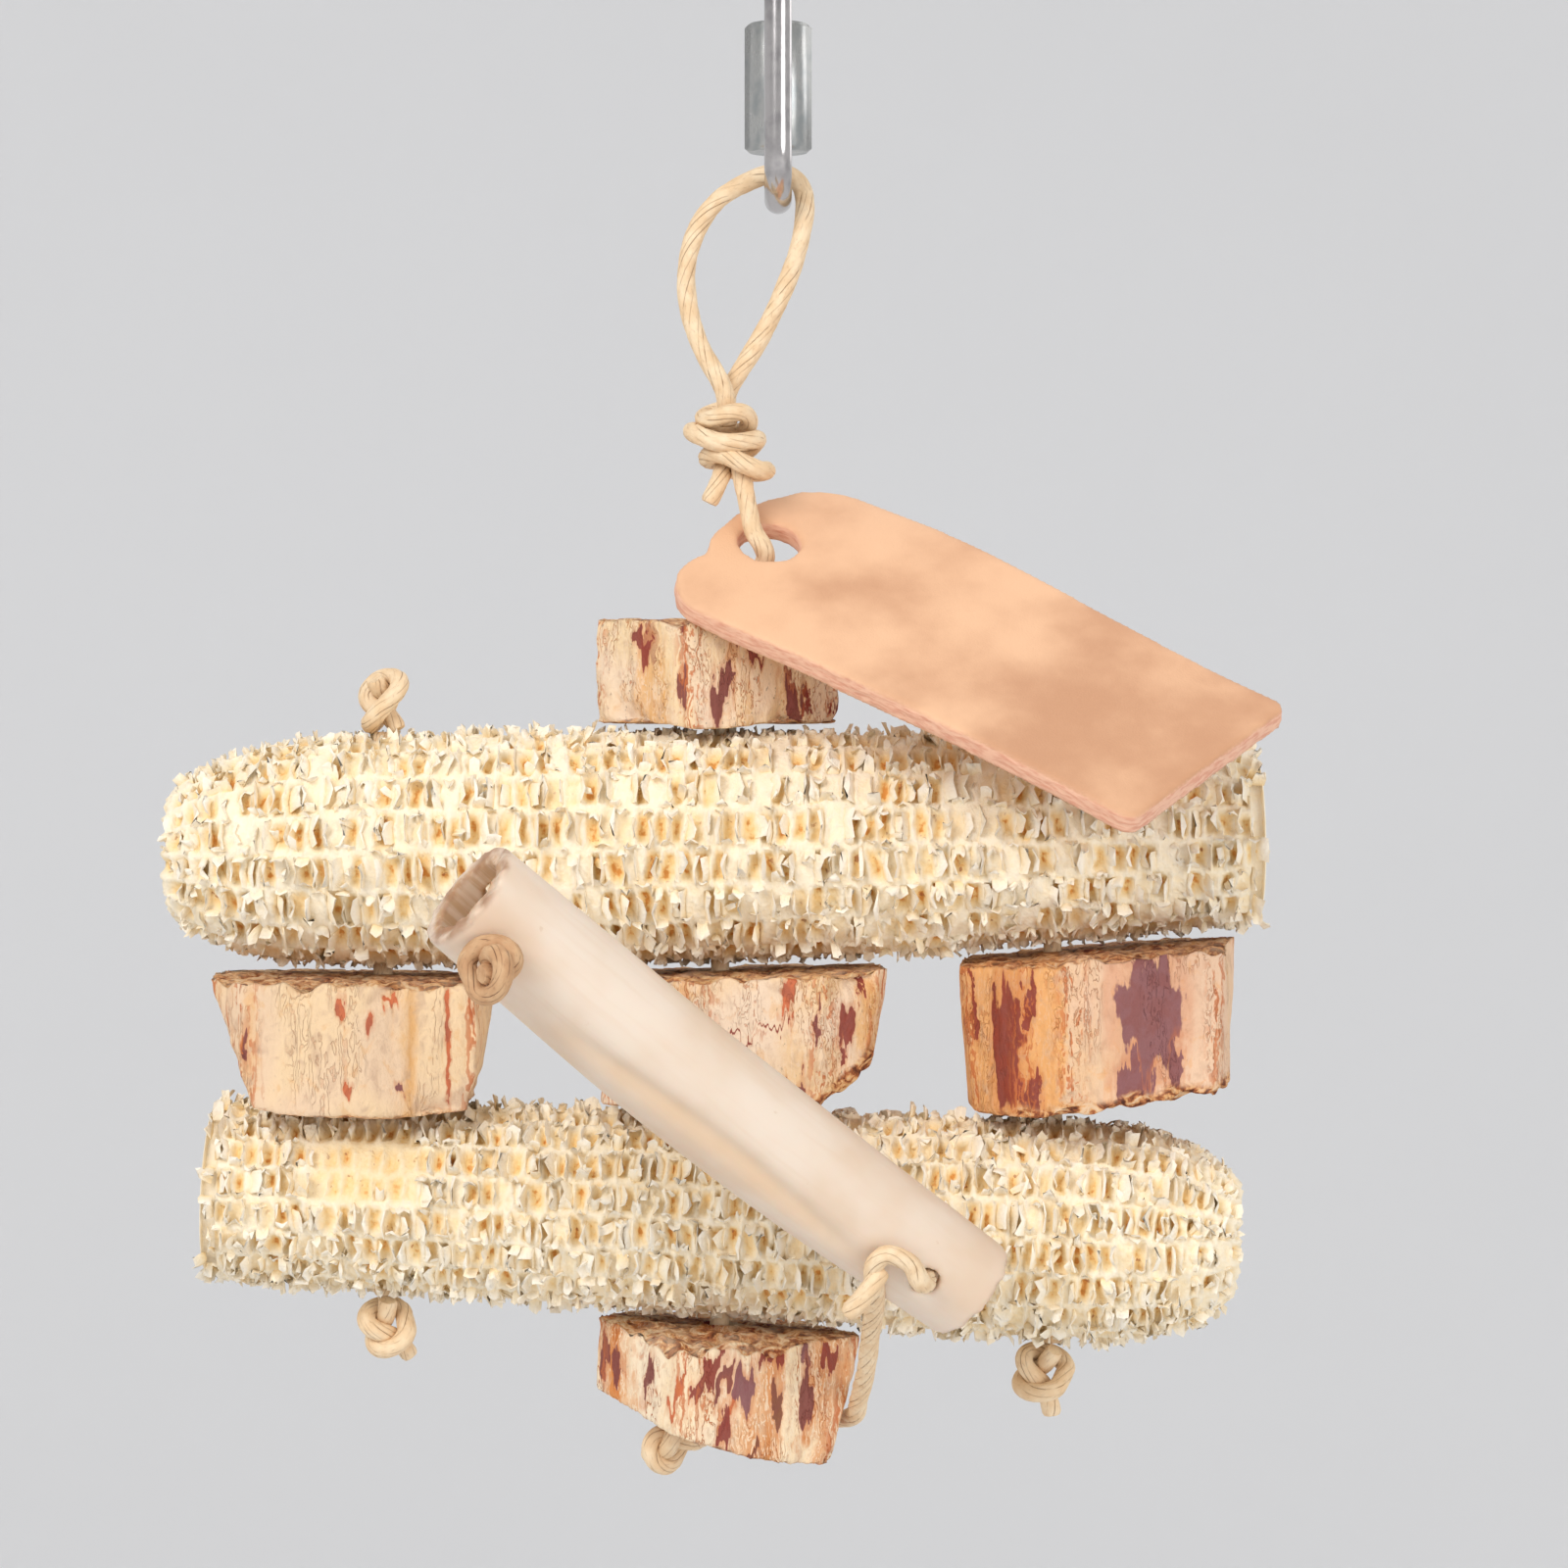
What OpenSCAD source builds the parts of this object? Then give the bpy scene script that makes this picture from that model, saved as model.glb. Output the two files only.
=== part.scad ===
// Hanging chew toy for a caged bird: two dried corn cobs, five bark blocks, a leather tag and a
// hollow chew stick, strung on twisted paper cord under a steel quick link.
// Millimetres, +Z up, +Y away from the front, origin at the inner top of the quick link.

/* [Quick link] */
// Diameter of the link's wire
wire_d = 3.5; // [2.5:0.25:4.25]
// Inner height of the link
link_h = 35; // [32:1:45]
// Inner width of the link
link_w = 10; // [9:0.5:12]
// Length of the sleeve nut
nut_len = 16.5; // [13:0.5:18]
// Width of the sleeve nut across its flats
nut_flats = 7.5; // [6.5:0.25:8.5]
// Gap in the rear leg that the nut closes
leg_gap = 4; // [2:0.5:5]
// Length of the rear leg's lower stub inside the nut
leg_hold = 4; // [3:0.5:6]
// Radial clearance of the nut on the leg
nut_fit = 0.05; // [0.02:0.01:0.1]

/* [Cord and knots] */
// Diameter of the twisted paper cord
cord_d = 2.4; // [2:0.1:2.6]
// Diameter of the holes drilled for the cord
cord_hole_d = 3.6; // [3.2:0.1:5]
// Width of a stopper knot
knot_w = 7.4; // [6:0.2:9]
// Height of a stopper knot
knot_h = 7; // [5:0.2:8]
// Width of the wound knot under the loop
wrap_w = 11.6; // [11:0.2:13]
// Turns of cord in the wound knot
wrap_turns = 3; // [2:1:4]
// Gap between neighbouring turns of the wound knot
wrap_gap = 0.5; // [0.45:0.05:1]
// Drop from the link's bow to the middle of the wound knot
loop_drop = 31; // [29:0.5:36]
// Drop from the middle of the wound knot to the top bark block
neck_drop = 22; // [20:0.5:26]

/* [Corn cobs] */
// Length of the upper cob
upper_len = 139; // [125:1:150]
// Largest radius of the upper cob
upper_r = 15.3; // [13:0.1:17]
// Radius of the upper cob at its cut right end
upper_cut_r = 11.4; // [8:0.2:12]
// Length of the upper cob to the left of the main cord
upper_reach = 70.3; // [66:0.5:75]
// Rise of the upper cob towards the right, in degrees
upper_tilt = 0.9; // [0:0.1:3]
// Length of the lower cob
lower_len = 131; // [122:1:145]
// Largest radius of the lower cob
lower_r = 14.4; // [12:0.1:16]
// Radius of the lower cob at its cut left end
lower_cut_r = 11.7; // [8:0.1:12]
// Length of the lower cob to the right of the main cord
lower_reach = 65.8; // [60:0.5:70]
// Fall of the lower cob towards the right, in degrees
lower_tilt = 2.7; // [0:0.1:4]
// Diameter of the soft pith at a cob's cut end
pith_d = 8; // [5:0.5:10]
// Depth of the dried-out pith
pith_depth = 1.5; // [0.5:0.5:4]
// Rows of sockets round a cob
cob_rows = 18; // [12:2:24]
// Distance between neighbouring sockets of one row
socket_pitch = 7.6; // [6:0.2:10]
// Depth of a socket
socket_depth = 2.1; // [1:0.1:3]

/* [Bark blocks] */
// Width of the top block
top_w = 31.5; // [28:0.5:34]
// Depth of the top block
top_d = 22; // [18:0.5:23]
// Height of the top block
top_h = 13.9; // [10:0.1:16]
// Width of the left block
left_w = 36; // [30:0.5:38]
// Depth of the left block
left_d = 28; // [20:0.5:32]
// Width of the middle block
middle_w = 36.5; // [30:0.5:38]
// Depth of the middle block
middle_d = 29; // [20:0.5:32]
// Height of the middle block, which sets the cobs apart
middle_h = 17.6; // [12:0.1:24]
// Width of the right block
right_w = 35.5; // [30:0.5:37]
// Depth of the right block
right_d = 30; // [20:0.5:32]
// Width of the bottom block
bottom_w = 34; // [28:0.5:38]
// Depth of the bottom block
bottom_d = 26; // [20:0.5:30]
// Height of the bottom block at the main cord
bottom_h = 13.7; // [9:0.1:18]
// Slope of the bottom block's lower face, in degrees
bottom_slope = 16.7; // [0:0.1:20]
// Lean of the bottom block's hole to the left, in degrees
bottom_lean = 20; // [10:1:22]
// Gap between a block and the cob it lies against
seat = 0.3; // [0.2:0.05:0.5]

/* [Leather tag] */
// Length of the tag
tag_len = 72; // [60:1:80]
// Width of the tag
tag_w = 32; // [26:0.5:34]
// Thickness of the leather
tag_t = 3; // [2:0.25:3.5]
// Diameter of the tag's hole
tag_hole_d = 7.6; // [7:0.2:9]
// Distance from the tag's end to the middle of its hole
tag_hole_in = 6.5; // [6:0.25:9]
// Radius of the corners at the hole end
tag_round = 5; // [2:0.5:10]
// Radius of the corners at the far end
tag_far_round = 2; // [1:0.5:8]

/* [Chew stick] */
// Length of the stick
stick_len = 82.5; // [76:0.5:90]
// Outer diameter of the stick's upper end
stick_d = 13.7; // [12:0.1:14]
// Outer diameter of the stick's lower end
stick_low_d = 13; // [12:0.1:13.6]
// Wall of the stick
stick_wall = 2; // [1:0.25:3]
// Distance from the upper end to the cord hole
stick_upper_in = 4.5; // [4:0.25:9]
// Distance from the lower end to the cord hole
stick_lower_in = 8.3; // [5:0.25:12]

/* [Cord places] */
// Main cord, to the right of the link
main_x = -7.4; // [-8.4:0.2:-6.4]
// Left cord, from the main cord
left_out = 43; // [40:0.5:46]
// Right cord, from the main cord
right_out = 42.4; // [40:0.5:46]
// Stick's hole through the upper cob, to the left of the main cord
stick_out = 21.1; // [18:0.1:26]
// The same hole, below the upper cob's axis
stick_hole_drop = 6; // [4:0.5:7]

/* [Hidden] */
$fn = 48;
sides = 8;
turn_rings = 24;
// Gap between cord ends on two bodies that turn against each other
flex_gap = 1;
// Length that cutters run past the faces they open
past = 1;

// Quick link
bend_r = (link_w + wire_d) / 2;
bow_z = -(link_h + wire_d / 2);
leg_top = -link_w / 2;
leg_low = -(link_h - link_w / 2);
nut_stop = 0.2;
nut_corner_chamfer = 0.5;

// Wound knot
knot_x = -6.1;
knot_z = bow_z - loop_drop;
wrap_r = (wrap_w - cord_d) / 2;
wrap_pitch = cord_d + wrap_gap;
wrap_h = wrap_turns * wrap_pitch + cord_d;
wrap_end = -80;
core_top_x = knot_x - 0.5;
core_low_x = knot_x + 1.1;
core_y = wrap_r - cord_d - 0.8;
core_inset = 0.4;
core_top = knot_z + wrap_h / 2 - core_inset;
core_low = knot_z - wrap_h / 2 + core_inset;
core_lean = atan((core_top_x - core_low_x) / (core_top - core_low));
core_run = norm([core_top_x - core_low_x, core_top - core_low]);
tail = [[-1.4, -4.7, -1.4], [-2.5, -4.1, -3.2]];

// Loop route from the link's bow, seen from the front, left strand first
loop_left = [[-7, -1.7, -24], [-8.6, -1.5, -21.6], [-10.4, -1.1, -17.8], [-11.5, -0.7, -13.2],
    [-11.6, -0.4, -8.2], [-10.2, -0.1, -3.5], [-7.4, 0, 0.2]];
loop_crown = [[-3.6, 0, 2.4], [-1.2, 0, 3.3], [0.4, 0, 3.5], [1.9, 0, 2.9], [3, 0, 1.6], [3.4, 0, -0.2]];
loop_right = [[3.3, 0, -2.6], [2.3, 0.3, -7.2], [0.2, 0.7, -12.6], [-2.3, 1.1, -17.6], [-4.8, 1.5, -21.6],
    [-6.1, 1.7, -23.8]];

// Stack heights, worked out downwards from the wound knot
top_z = knot_z - neck_drop;
left_x = main_x - left_out;
right_x = main_x + right_out;
stick_x = main_x - stick_out;

// Cob outlines: distance of the fullest place from the round end, length of the round end,
// share of the radius left at the round end's tip, and how fast the cob tapers
upper_belly = 55;
upper_dome = 20;
upper_swell = 1.3;
upper_power = 2;
lower_belly = 22;
lower_dome = 18;
lower_swell = 0.5;
lower_power = 1.1;
dome_tip = 0.4;

function cob_r(u, len, r, cut_r, belly, dome, swell, power) =
    let (round_end = u >= dome ? 1 : dome_tip + (1 - dome_tip) * sqrt(1 - pow(1 - max(u, 0) / dome, 2)))
    u > belly
        ? r - (r - cut_r) * pow((u - belly) / (len - belly), power)
        : (r - swell * pow((belly - u) / belly, 2)) * round_end;
function upper_radius(u) =
    cob_r(u, upper_len, upper_r, upper_cut_r, upper_belly, upper_dome, upper_swell, upper_power);
function lower_radius(u) =
    cob_r(u, lower_len, lower_r, lower_cut_r, lower_belly, lower_dome, lower_swell, lower_power);

// Radius of each cob where the vertical through world x meets its axis
function upper_radius_at(x) = upper_radius((x - main_x) / cos(upper_tilt) + upper_reach);
function lower_radius_at(x) = lower_radius(lower_reach - (x - main_x) / cos(lower_tilt));

upper_z = top_z - top_h - seat - upper_radius_at(main_x) / cos(upper_tilt);
middle_top = upper_z - upper_radius_at(main_x) / cos(upper_tilt) - seat;
lower_z = middle_top - middle_h - seat - lower_radius_at(main_x) / cos(lower_tilt);

// Heights of the cobs' axes and of the lines where blocks and knots lie against them
function upper_axis(x) = upper_z + (x - main_x) * tan(upper_tilt);
function lower_axis(x) = lower_z - (x - main_x) * tan(lower_tilt);
function upper_crest(x) = upper_axis(x) + upper_radius_at(x) / cos(upper_tilt);
function upper_keel(x) = upper_axis(x) - upper_radius_at(x) / cos(upper_tilt);
function lower_crest(x) = lower_axis(x) + lower_radius_at(x) / cos(lower_tilt);
function lower_keel(x) = lower_axis(x) - lower_radius_at(x) / cos(lower_tilt);

// Straight line that touches an outline at x0, given the outline's heights 1 mm either side
function touch(low, mid, high, x0, x) = mid + (high - low) / 2 * (x - x0);
function under_upper(x0, x) =
    touch(upper_keel(x0 - 1), upper_keel(x0), upper_keel(x0 + 1), x0, x) - seat;
function over_upper(x0, x) =
    touch(upper_crest(x0 - 1), upper_crest(x0), upper_crest(x0 + 1), x0, x) + seat;
function over_lower(x0, x) =
    touch(lower_crest(x0 - 1), lower_crest(x0), lower_crest(x0 + 1), x0, x) + seat;
function under_lower(x0, x) =
    touch(lower_keel(x0 - 1), lower_keel(x0), lower_keel(x0 + 1), x0, x) - seat;

// Plans of the blocks as broken off: corners in half widths and half depths, and the sideways
// shift of each block's middle from its cord
top_plan = [[-1, 0.1], [-0.22, -0.84], [0.3, -0.6], [1, 0.05], [0.62, 0.8], [-0.1, 1], [-0.7, 0.75]];
left_plan = [[-1, -0.5], [-0.72, -0.95], [0.1, -1], [0.9, -0.75], [1, 0.2], [0.55, 0.9], [-0.5, 1], [-0.95, 0.5]];
middle_plan = [[-1, -0.6], [-0.3, -1], [0.55, -0.9], [1, -0.45], [0.9, 0.6], [0.2, 1], [-0.75, 0.85]];
right_plan = [[-1, -0.35], [-0.55, -0.85], [-0.22, -1], [0.85, -0.8], [1, 0.1], [0.6, 0.95], [-0.4, 1], [-0.9, 0.45]];
bottom_plan = [[-1, -0.05], [-0.32, -1], [0.2, -0.75], [1, -0.1], [0.55, 0.8], [0.05, 1], [-0.7, 0.75]];
top_shift = -0.3;
left_shift = -3.5;
middle_shift = 3;
right_shift = 5.5;
bottom_shift = 1.2;
// How far a block's lower corners are drawn in at the left and right
left_draw = [6.5, 2.8];
middle_draw = [0.5, 3];
right_draw = [2, 1.5];
bottom_draw = [0, 4.4];

// Leather tag: middle of its hole from the link, and its lean as turns about X, Y and Z
tag_x = -1.4;
tag_y = -2;
tag_drop = 13.5;
tag_turn = [33.5, 24.8, -27];
tag_hole = [tag_x, tag_y, knot_z - tag_drop];

// Neck route from the middle of the top block's upper face at the main cord
neck_route = [[0, 0, 1], [0, 0, 1.5], [0, 0, 2], [1.2, -0.2, 3.4], [3.5, -1, 5.6], [4.7, -2.4, 8.4],
    [4.2, -3, 11.2], [2.9, -2.2, 14]];

// Chew stick: middle from the upper cob's axis at the main cord, and its lean
stick_mid = [main_x + 1.15, -41, upper_z - 29.3];
stick_yaw = 26.9;
stick_fall = 126.4;
stick_upper_roll = -45;
stick_lower_roll = -56;
stick_hole_z = upper_axis(stick_x) - stick_hole_drop;

function stick_radius(s) = (stick_d + (stick_low_d - stick_d) * s / stick_len) / 2;
// Point at distance s from the stick's upper end, turned about the stick, at radius r from its axis
function stick_at(s, roll, r) =
    let (x = r * cos(roll), y = r * sin(roll), z = s - stick_len / 2)
    let (tx = x * cos(stick_fall) + z * sin(stick_fall), tz = z * cos(stick_fall) - x * sin(stick_fall))
    stick_mid + [tx * cos(stick_yaw) - y * sin(stick_yaw), tx * sin(stick_yaw) + y * cos(stick_yaw), tz];

stick_lower_s = stick_len - stick_lower_in;
stick_knot_r = stick_radius(stick_upper_in) + seat;
hitch_r = stick_d / 2 + cord_d / 2 + seat + 0.4;
cob_front = -sqrt(pow(upper_radius_at(stick_x), 2) - pow(stick_hole_drop, 2));

// Bottom block and the knots that stop the cords
knot_end_r = cord_d / 2 + 0.6;
rear_knot_y = sqrt(pow(upper_radius_at(stick_x), 2) - pow(stick_hole_drop - knot_end_r, 2)) + seat;
knot_wraps = 2;
knot_steps = 16;
bottom_top = lower_keel(main_x) - seat;
bottom_low = bottom_top - bottom_h;
bottom_right = main_x + bottom_shift + bottom_w / 2;
bottom_back = bottom_d / 2;
// Length of the leaning hole, from the block's upper face to its lower one
bottom_run = bottom_h / (cos(bottom_lean) + sin(bottom_lean) * tan(bottom_slope));
main_knot_in = bottom_run + seat + tan(abs(bottom_lean - bottom_slope)) * knot_w / 2;
// Point on the leaning cord, a distance below the lower cob
function bottom_at(s) = [main_x - s * sin(bottom_lean), 0, bottom_top - s * cos(bottom_lean)];
main_knot_end = bottom_at(main_knot_in + knot_h);
left_top_base = over_upper(left_x, left_x) + knot_base_gap(left_x, 1);
right_top_base = over_upper(right_x, right_x) + knot_base_gap(right_x, 1);
left_low_top = under_lower(left_x, left_x) - knot_base_gap(left_x, -1);
right_low_top = under_lower(right_x, right_x) - knot_base_gap(right_x, -1);
// Extra height that keeps a knot's flat end off a cob that slopes under it
function knot_base_gap(x, up) = up > 0
    ? abs(upper_crest(x + 1) - upper_crest(x - 1)) / 2 * knot_end_r
    : abs(lower_keel(x + 1) - lower_keel(x - 1)) / 2 * knot_end_r;

// Routes of the stick's two ties
upper_tie = [stick_at(stick_upper_in, stick_upper_roll, stick_knot_r),
    stick_at(stick_upper_in, stick_upper_roll, 0),
    stick_at(stick_upper_in, stick_upper_roll, -stick_d / 2 - 3),
    [stick_x - 2.2, -37, stick_hole_z + 1.5],
    [stick_x - 0.8, -26, stick_hole_z - 0.6],
    [stick_x, cob_front - 5, stick_hole_z],
    [stick_x, cob_front - seat, stick_hole_z]];
lower_tie = [stick_at(stick_lower_s, stick_lower_roll, -1),
    stick_at(stick_lower_s, stick_lower_roll, stick_d / 2 - 1),
    stick_at(stick_lower_s - 1.5, stick_lower_roll - 2, hitch_r + 0.2),
    stick_at(stick_lower_s - 4.6, stick_lower_roll - 8, hitch_r + 0.3),
    stick_at(stick_lower_s - 7.4, stick_lower_roll - 3, hitch_r + 0.2),
    stick_at(stick_lower_s - 7.6, stick_lower_roll + 10, hitch_r + 0.2),
    stick_at(stick_lower_s - 6, stick_lower_roll + 22, hitch_r),
    [main_x + 19.2, -30, lower_z - 8],
    [main_x + 18.8, -21, lower_z - 13],
    [main_x + 18.4, -12, lower_z - 18.6],
    [main_x + 17.6, -3.5, lower_z - 23.4],
    [bottom_right - 0.9, 1, bottom_low + 1.7],
    [bottom_right - 2.4, bottom_back / 2, bottom_low + 0.3],
    [bottom_right - 6, bottom_back - 1.2, bottom_low - 0.3],
    [main_x + 7.4, bottom_back + 0.9, bottom_low],
    [main_x + 2, bottom_back + 2.2, bottom_low - 0.3],
    main_knot_end + [5.7, bottom_back + 0.2, 3.3],
    main_knot_end + [3.5, bottom_back - 4, 2.7],
    main_knot_end + [2.3, 4.9, 3.5]];

// Cord sweeps
function unit(v) = v / norm(v);
function spline_at(p, i, t) =
    let (a = p[max(i - 1, 0)], b = p[i], c = p[i + 1], d = p[min(i + 2, len(p) - 1)])
    0.5 * (2 * b + (c - a) * t + (2 * a - 5 * b + 4 * c - d) * t * t + (3 * b - a - 3 * c + d) * t * t * t);
function smooth(p, steps) =
    [for (i = [0 : len(p) - 2]) for (s = [0 : steps - 1]) spline_at(p, i, s / steps), p[len(p) - 1]];
function tangents(p) = [for (i = [0 : len(p) - 1]) unit(p[min(i + 1, len(p) - 1)] - p[max(i - 1, 0)])];
function square_to(v, t) = unit(v - (v * t) * t);
function normals(t) = [
    for (i = 0, v = square_to(abs(t[0].z) < 0.9 ? [0, 0, 1] : [1, 0, 0], t[0]);
        i < len(t);
        i = i + 1, v = square_to(v, t[min(i, len(t) - 1)])) v];
// Least gap of a cord to itself, between points further than reach along it
function least_gap(p, d, reach) =
    min([for (i = [0 : len(p) - 1]) for (j = [i + reach : 1 : len(p) - 1]) norm(p[j] - p[i])]) - d;

// Round cord of diameter d along a path
module cord(path, d = cord_d, n = sides) {
    t = tangents(path);
    v = normals(t);
    last = (len(path) - 1) * n;
    rings = [for (i = [0 : len(path) - 1]) for (k = [0 : n - 1])
        path[i] + d / 2 * (cos(360 * k / n) * v[i] + sin(360 * k / n) * cross(t[i], v[i]))];
    wall = [for (i = [0 : len(path) - 2]) for (k = [0 : n - 1])
        let (a = i * n + k, b = i * n + (k + 1) % n)
        each [[a, a + n, b + n], [a, b + n, b]]];
    caps = [for (k = [1 : n - 2]) each [[0, k, k + 1], [last, last + k + 1, last + k]]];
    polyhedron(rings, concat(wall, caps), convexity = 10);
}

// Straight cord from height low to height high
module upright_cord(x, low, high) {
    translate([x, 0, low]) cylinder(d = cord_d, h = high - low);
}

// Hole for the upright cord at x through everything between low and high
module cord_bore(x, low, high) {
    translate([x, 0, low - past]) cylinder(d = cord_hole_d, h = high - low + 2 * past);
}

// Stopper knot: a barrel of cord turns with flat ends, standing on z = 0
module stopper_knot() {
    function turn_r(t) = knot_end_r + (knot_w / 2 - knot_end_r) * pow(abs(sin(180 * knot_wraps * t)), 0.6)
        * (1 - 0.25 * pow(2 * t - 1, 2)) + (knot_w / 2 - knot_end_r) * 0.3 * sin(180 * t);
    rotate_extrude() polygon(concat([[0, 0]],
        [for (i = [0 : knot_steps]) [min(turn_r(i / knot_steps), knot_w / 2), knot_h * i / knot_steps]],
        [[0, knot_h]]));
}

// Corn cob along +X from its round end, from [radius, distance] pairs: every other point is sunk into
// a socket, ridges join the rest, and the dried pith is sunk into the cut end
module cob(length, radii) {
    rings = len(radii);
    last = (rings - 1) * cob_rows;
    points = [for (i = [0 : rings - 1]) for (j = [0 : cob_rows - 1])
        let (sunk = i > 0 && i < rings - 1 ? (i + j) % 2 : 0,
             r = radii[i][0] - sunk * socket_depth,
             a = 360 * j / cob_rows)
        [radii[i][1], r * sin(a), r * cos(a)]];
    wall = [for (i = [0 : rings - 2]) for (j = [0 : cob_rows - 1])
        let (a = i * cob_rows + j, b = i * cob_rows + (j + 1) % cob_rows, c = a + cob_rows, d = b + cob_rows)
        each (i + j) % 2 == 0 ? [[a, b, d], [a, d, c]] : [[a, b, c], [b, d, c]]];
    caps = [for (j = [1 : cob_rows - 2]) each [[0, j + 1, j], [last, last + j, last + j + 1]]];
    difference() {
        polyhedron(points, concat(wall, caps), convexity = 10);
        translate([length - pith_depth, 0, 0]) rotate([0, 90, 0])
            cylinder(d = pith_d, h = pith_depth + past);
    }
}

// Places along a cob, half a socket apart
function stations(length) =
    let (steps = round(2 * length / socket_pitch)) [for (i = [0 : steps]) length * i / steps];

// Bark block: a broken plan seen from above, cut by a front outline, and drilled for its cord
module bark(x, w, d, shift, plan, outline, lean = 0) {
    zs = [for (p = outline) p[1]];
    reach = 2 * (max(zs) - min(zs));
    difference() {
        intersection() {
            translate([x + shift, 0, min(zs) - past])
                linear_extrude(max(zs) - min(zs) + 2 * past)
                    polygon([for (p = plan) [p[0] * w / 2, p[1] * d / 2]]);
            translate([0, d, 0]) rotate([90, 0, 0]) linear_extrude(2 * d) polygon(outline);
        }
        translate([x, 0, (outline[0][1] + outline[1][1]) / 2]) rotate([0, lean, 0])
            cylinder(d = cord_hole_d, h = 2 * reach, center = true);
    }
}

// Front outline of a block between the two cobs
function between(x, w, shift, draw) = let (l = x + shift - w / 2, r = x + shift + w / 2)
    [[l, under_upper(x, l)], [r, under_upper(x, r)],
     [r - draw[1], over_lower(x, r - draw[1])], [l + draw[0], over_lower(x, l + draw[0])]];

module quick_link() {
    color("silver") difference() {
        union() {
            translate([0, 0, leg_top]) rotate([90, 0, 90])
                rotate_extrude(angle = 180) translate([bend_r, 0]) circle(d = wire_d);
            translate([0, 0, leg_low]) rotate([-90, 0, 90])
                rotate_extrude(angle = 180) translate([bend_r, 0]) circle(d = wire_d);
            for (side = [-1, 1])
                translate([0, side * bend_r, leg_low]) cylinder(d = wire_d, h = leg_top - leg_low);
        }
        translate([-wire_d, bend_r - wire_d, leg_low + leg_hold]) cube([2 * wire_d, 2 * wire_d, leg_gap]);
    }
}

module sleeve_nut() {
    color("lightsteelblue") translate([0, bend_r, leg_low + nut_stop]) difference() {
        intersection() {
            cylinder(d = nut_flats / cos(30), h = nut_len, $fn = 6);
            rotate_extrude() polygon([[0, 0], [nut_flats / 2, 0],
                [nut_flats / cos(30) / 2, nut_corner_chamfer],
                [nut_flats / cos(30) / 2, nut_len - nut_corner_chamfer],
                [nut_flats / 2, nut_len], [0, nut_len]]);
        }
        translate([0, 0, -past]) cylinder(d = wire_d + 2 * nut_fit, h = nut_len + 2 * past);
    }
}

function loop_route() = concat(
    [[core_top_x, -core_y, core_top + flex_gap]],
    [for (p = concat(loop_left, loop_crown, loop_right)) p + [0, 0, bow_z]],
    [[core_top_x, core_y, core_top + flex_gap]]);

module hanging_loop() {
    color("burlywood") cord(smooth(loop_route(), 2));
}

function winding() = concat(
    [for (i = [0 : wrap_turns * turn_rings])
        let (a = wrap_end + 360 * wrap_turns - 360 * i / turn_rings, s = i / (wrap_turns * turn_rings))
        [knot_x + wrap_r * cos(a), wrap_r * sin(a), knot_z + (0.5 - s) * wrap_turns * wrap_pitch]],
    [for (p = tail) [knot_x, 0, knot_z - wrap_turns * wrap_pitch / 2] + p]);
echo(loop_knot_least_gap = least_gap(winding(), cord_d, turn_rings / 2));

module loop_knot() {
    color("burlywood") cord(winding(), n = 6);
}

module loop_knot_core() {
    color("burlywood") for (side = [-1, 1])
        translate([core_low_x, side * core_y, core_low]) rotate([0, core_lean, 0])
            cylinder(d = cord_d, h = core_run);
}

module neck_cord() {
    color("burlywood") cord(smooth(concat([for (p = neck_route) p + [main_x, 0, top_z]],
        [[core_low_x, -core_y, core_low - flex_gap]]), 2));
}

module main_cord() {
    color("burlywood") upright_cord(main_x, bottom_top, top_z + neck_route[0].z);
}

// Last run of the main cord, leaning through the bottom block
module bottom_cord() {
    color("burlywood") translate(bottom_at(main_knot_in)) rotate([0, bottom_lean, 0])
        cylinder(d = cord_d, h = main_knot_in);
}

module main_bottom_knot() {
    color("burlywood") translate(main_knot_end) rotate([0, bottom_lean, 0]) stopper_knot();
}

module leather_tag() {
    module corner(x, y, r) {
        translate([x - sign(x - tag_len / 2) * r, y - sign(y) * r]) circle(r = r);
    }
    module sheet() {
        translate([tag_round, -tag_w / 2]) square([tag_len - tag_round - tag_far_round, tag_w]);
        translate([0, -tag_w / 2 + tag_round]) square([tag_len / 2, tag_w - 2 * tag_round]);
        translate([tag_len / 2, -tag_w / 2 + tag_far_round]) square([tag_len / 2, tag_w - 2 * tag_far_round]);
        for (side = [-1, 1]) {
            corner(0, side * tag_w / 2, tag_round);
            corner(tag_len, side * tag_w / 2, tag_far_round);
        }
    }
    color("peru") translate(tag_hole) rotate(tag_turn) difference() {
        translate([-tag_hole_in, 0, -tag_t / 2]) linear_extrude(tag_t) sheet();
        translate([0, 0, -tag_t]) cylinder(d = tag_hole_d, h = 2 * tag_t);
    }
}

module top_bark() {
    l = main_x + top_shift - top_w / 2;
    r = main_x + top_shift + top_w / 2;
    color("tan") bark(main_x, top_w, top_d, top_shift, top_plan,
        [[l, top_z], [r, top_z], [r, over_upper(main_x, r)], [l, over_upper(main_x, l)]]);
}

module upper_cob() {
    color("wheat") difference() {
        translate([main_x, 0, upper_z]) rotate([0, -upper_tilt, 0]) translate([-upper_reach, 0, 0])
            cob(upper_len, [for (u = stations(upper_len)) [upper_radius(u), u]]);
        for (x = [left_x, main_x, right_x])
            cord_bore(x, upper_keel(x), upper_crest(x));
        translate([stick_x, 0, stick_hole_z]) rotate([90, 0, 0])
            cylinder(d = cord_hole_d, h = 4 * upper_r, center = true);
    }
}

module left_bark() {
    color("tan") bark(left_x, left_w, left_d, left_shift, left_plan,
        between(left_x, left_w, left_shift, left_draw));
}

module middle_bark() {
    color("tan") bark(main_x, middle_w, middle_d, middle_shift, middle_plan,
        between(main_x, middle_w, middle_shift, middle_draw));
}

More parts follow.
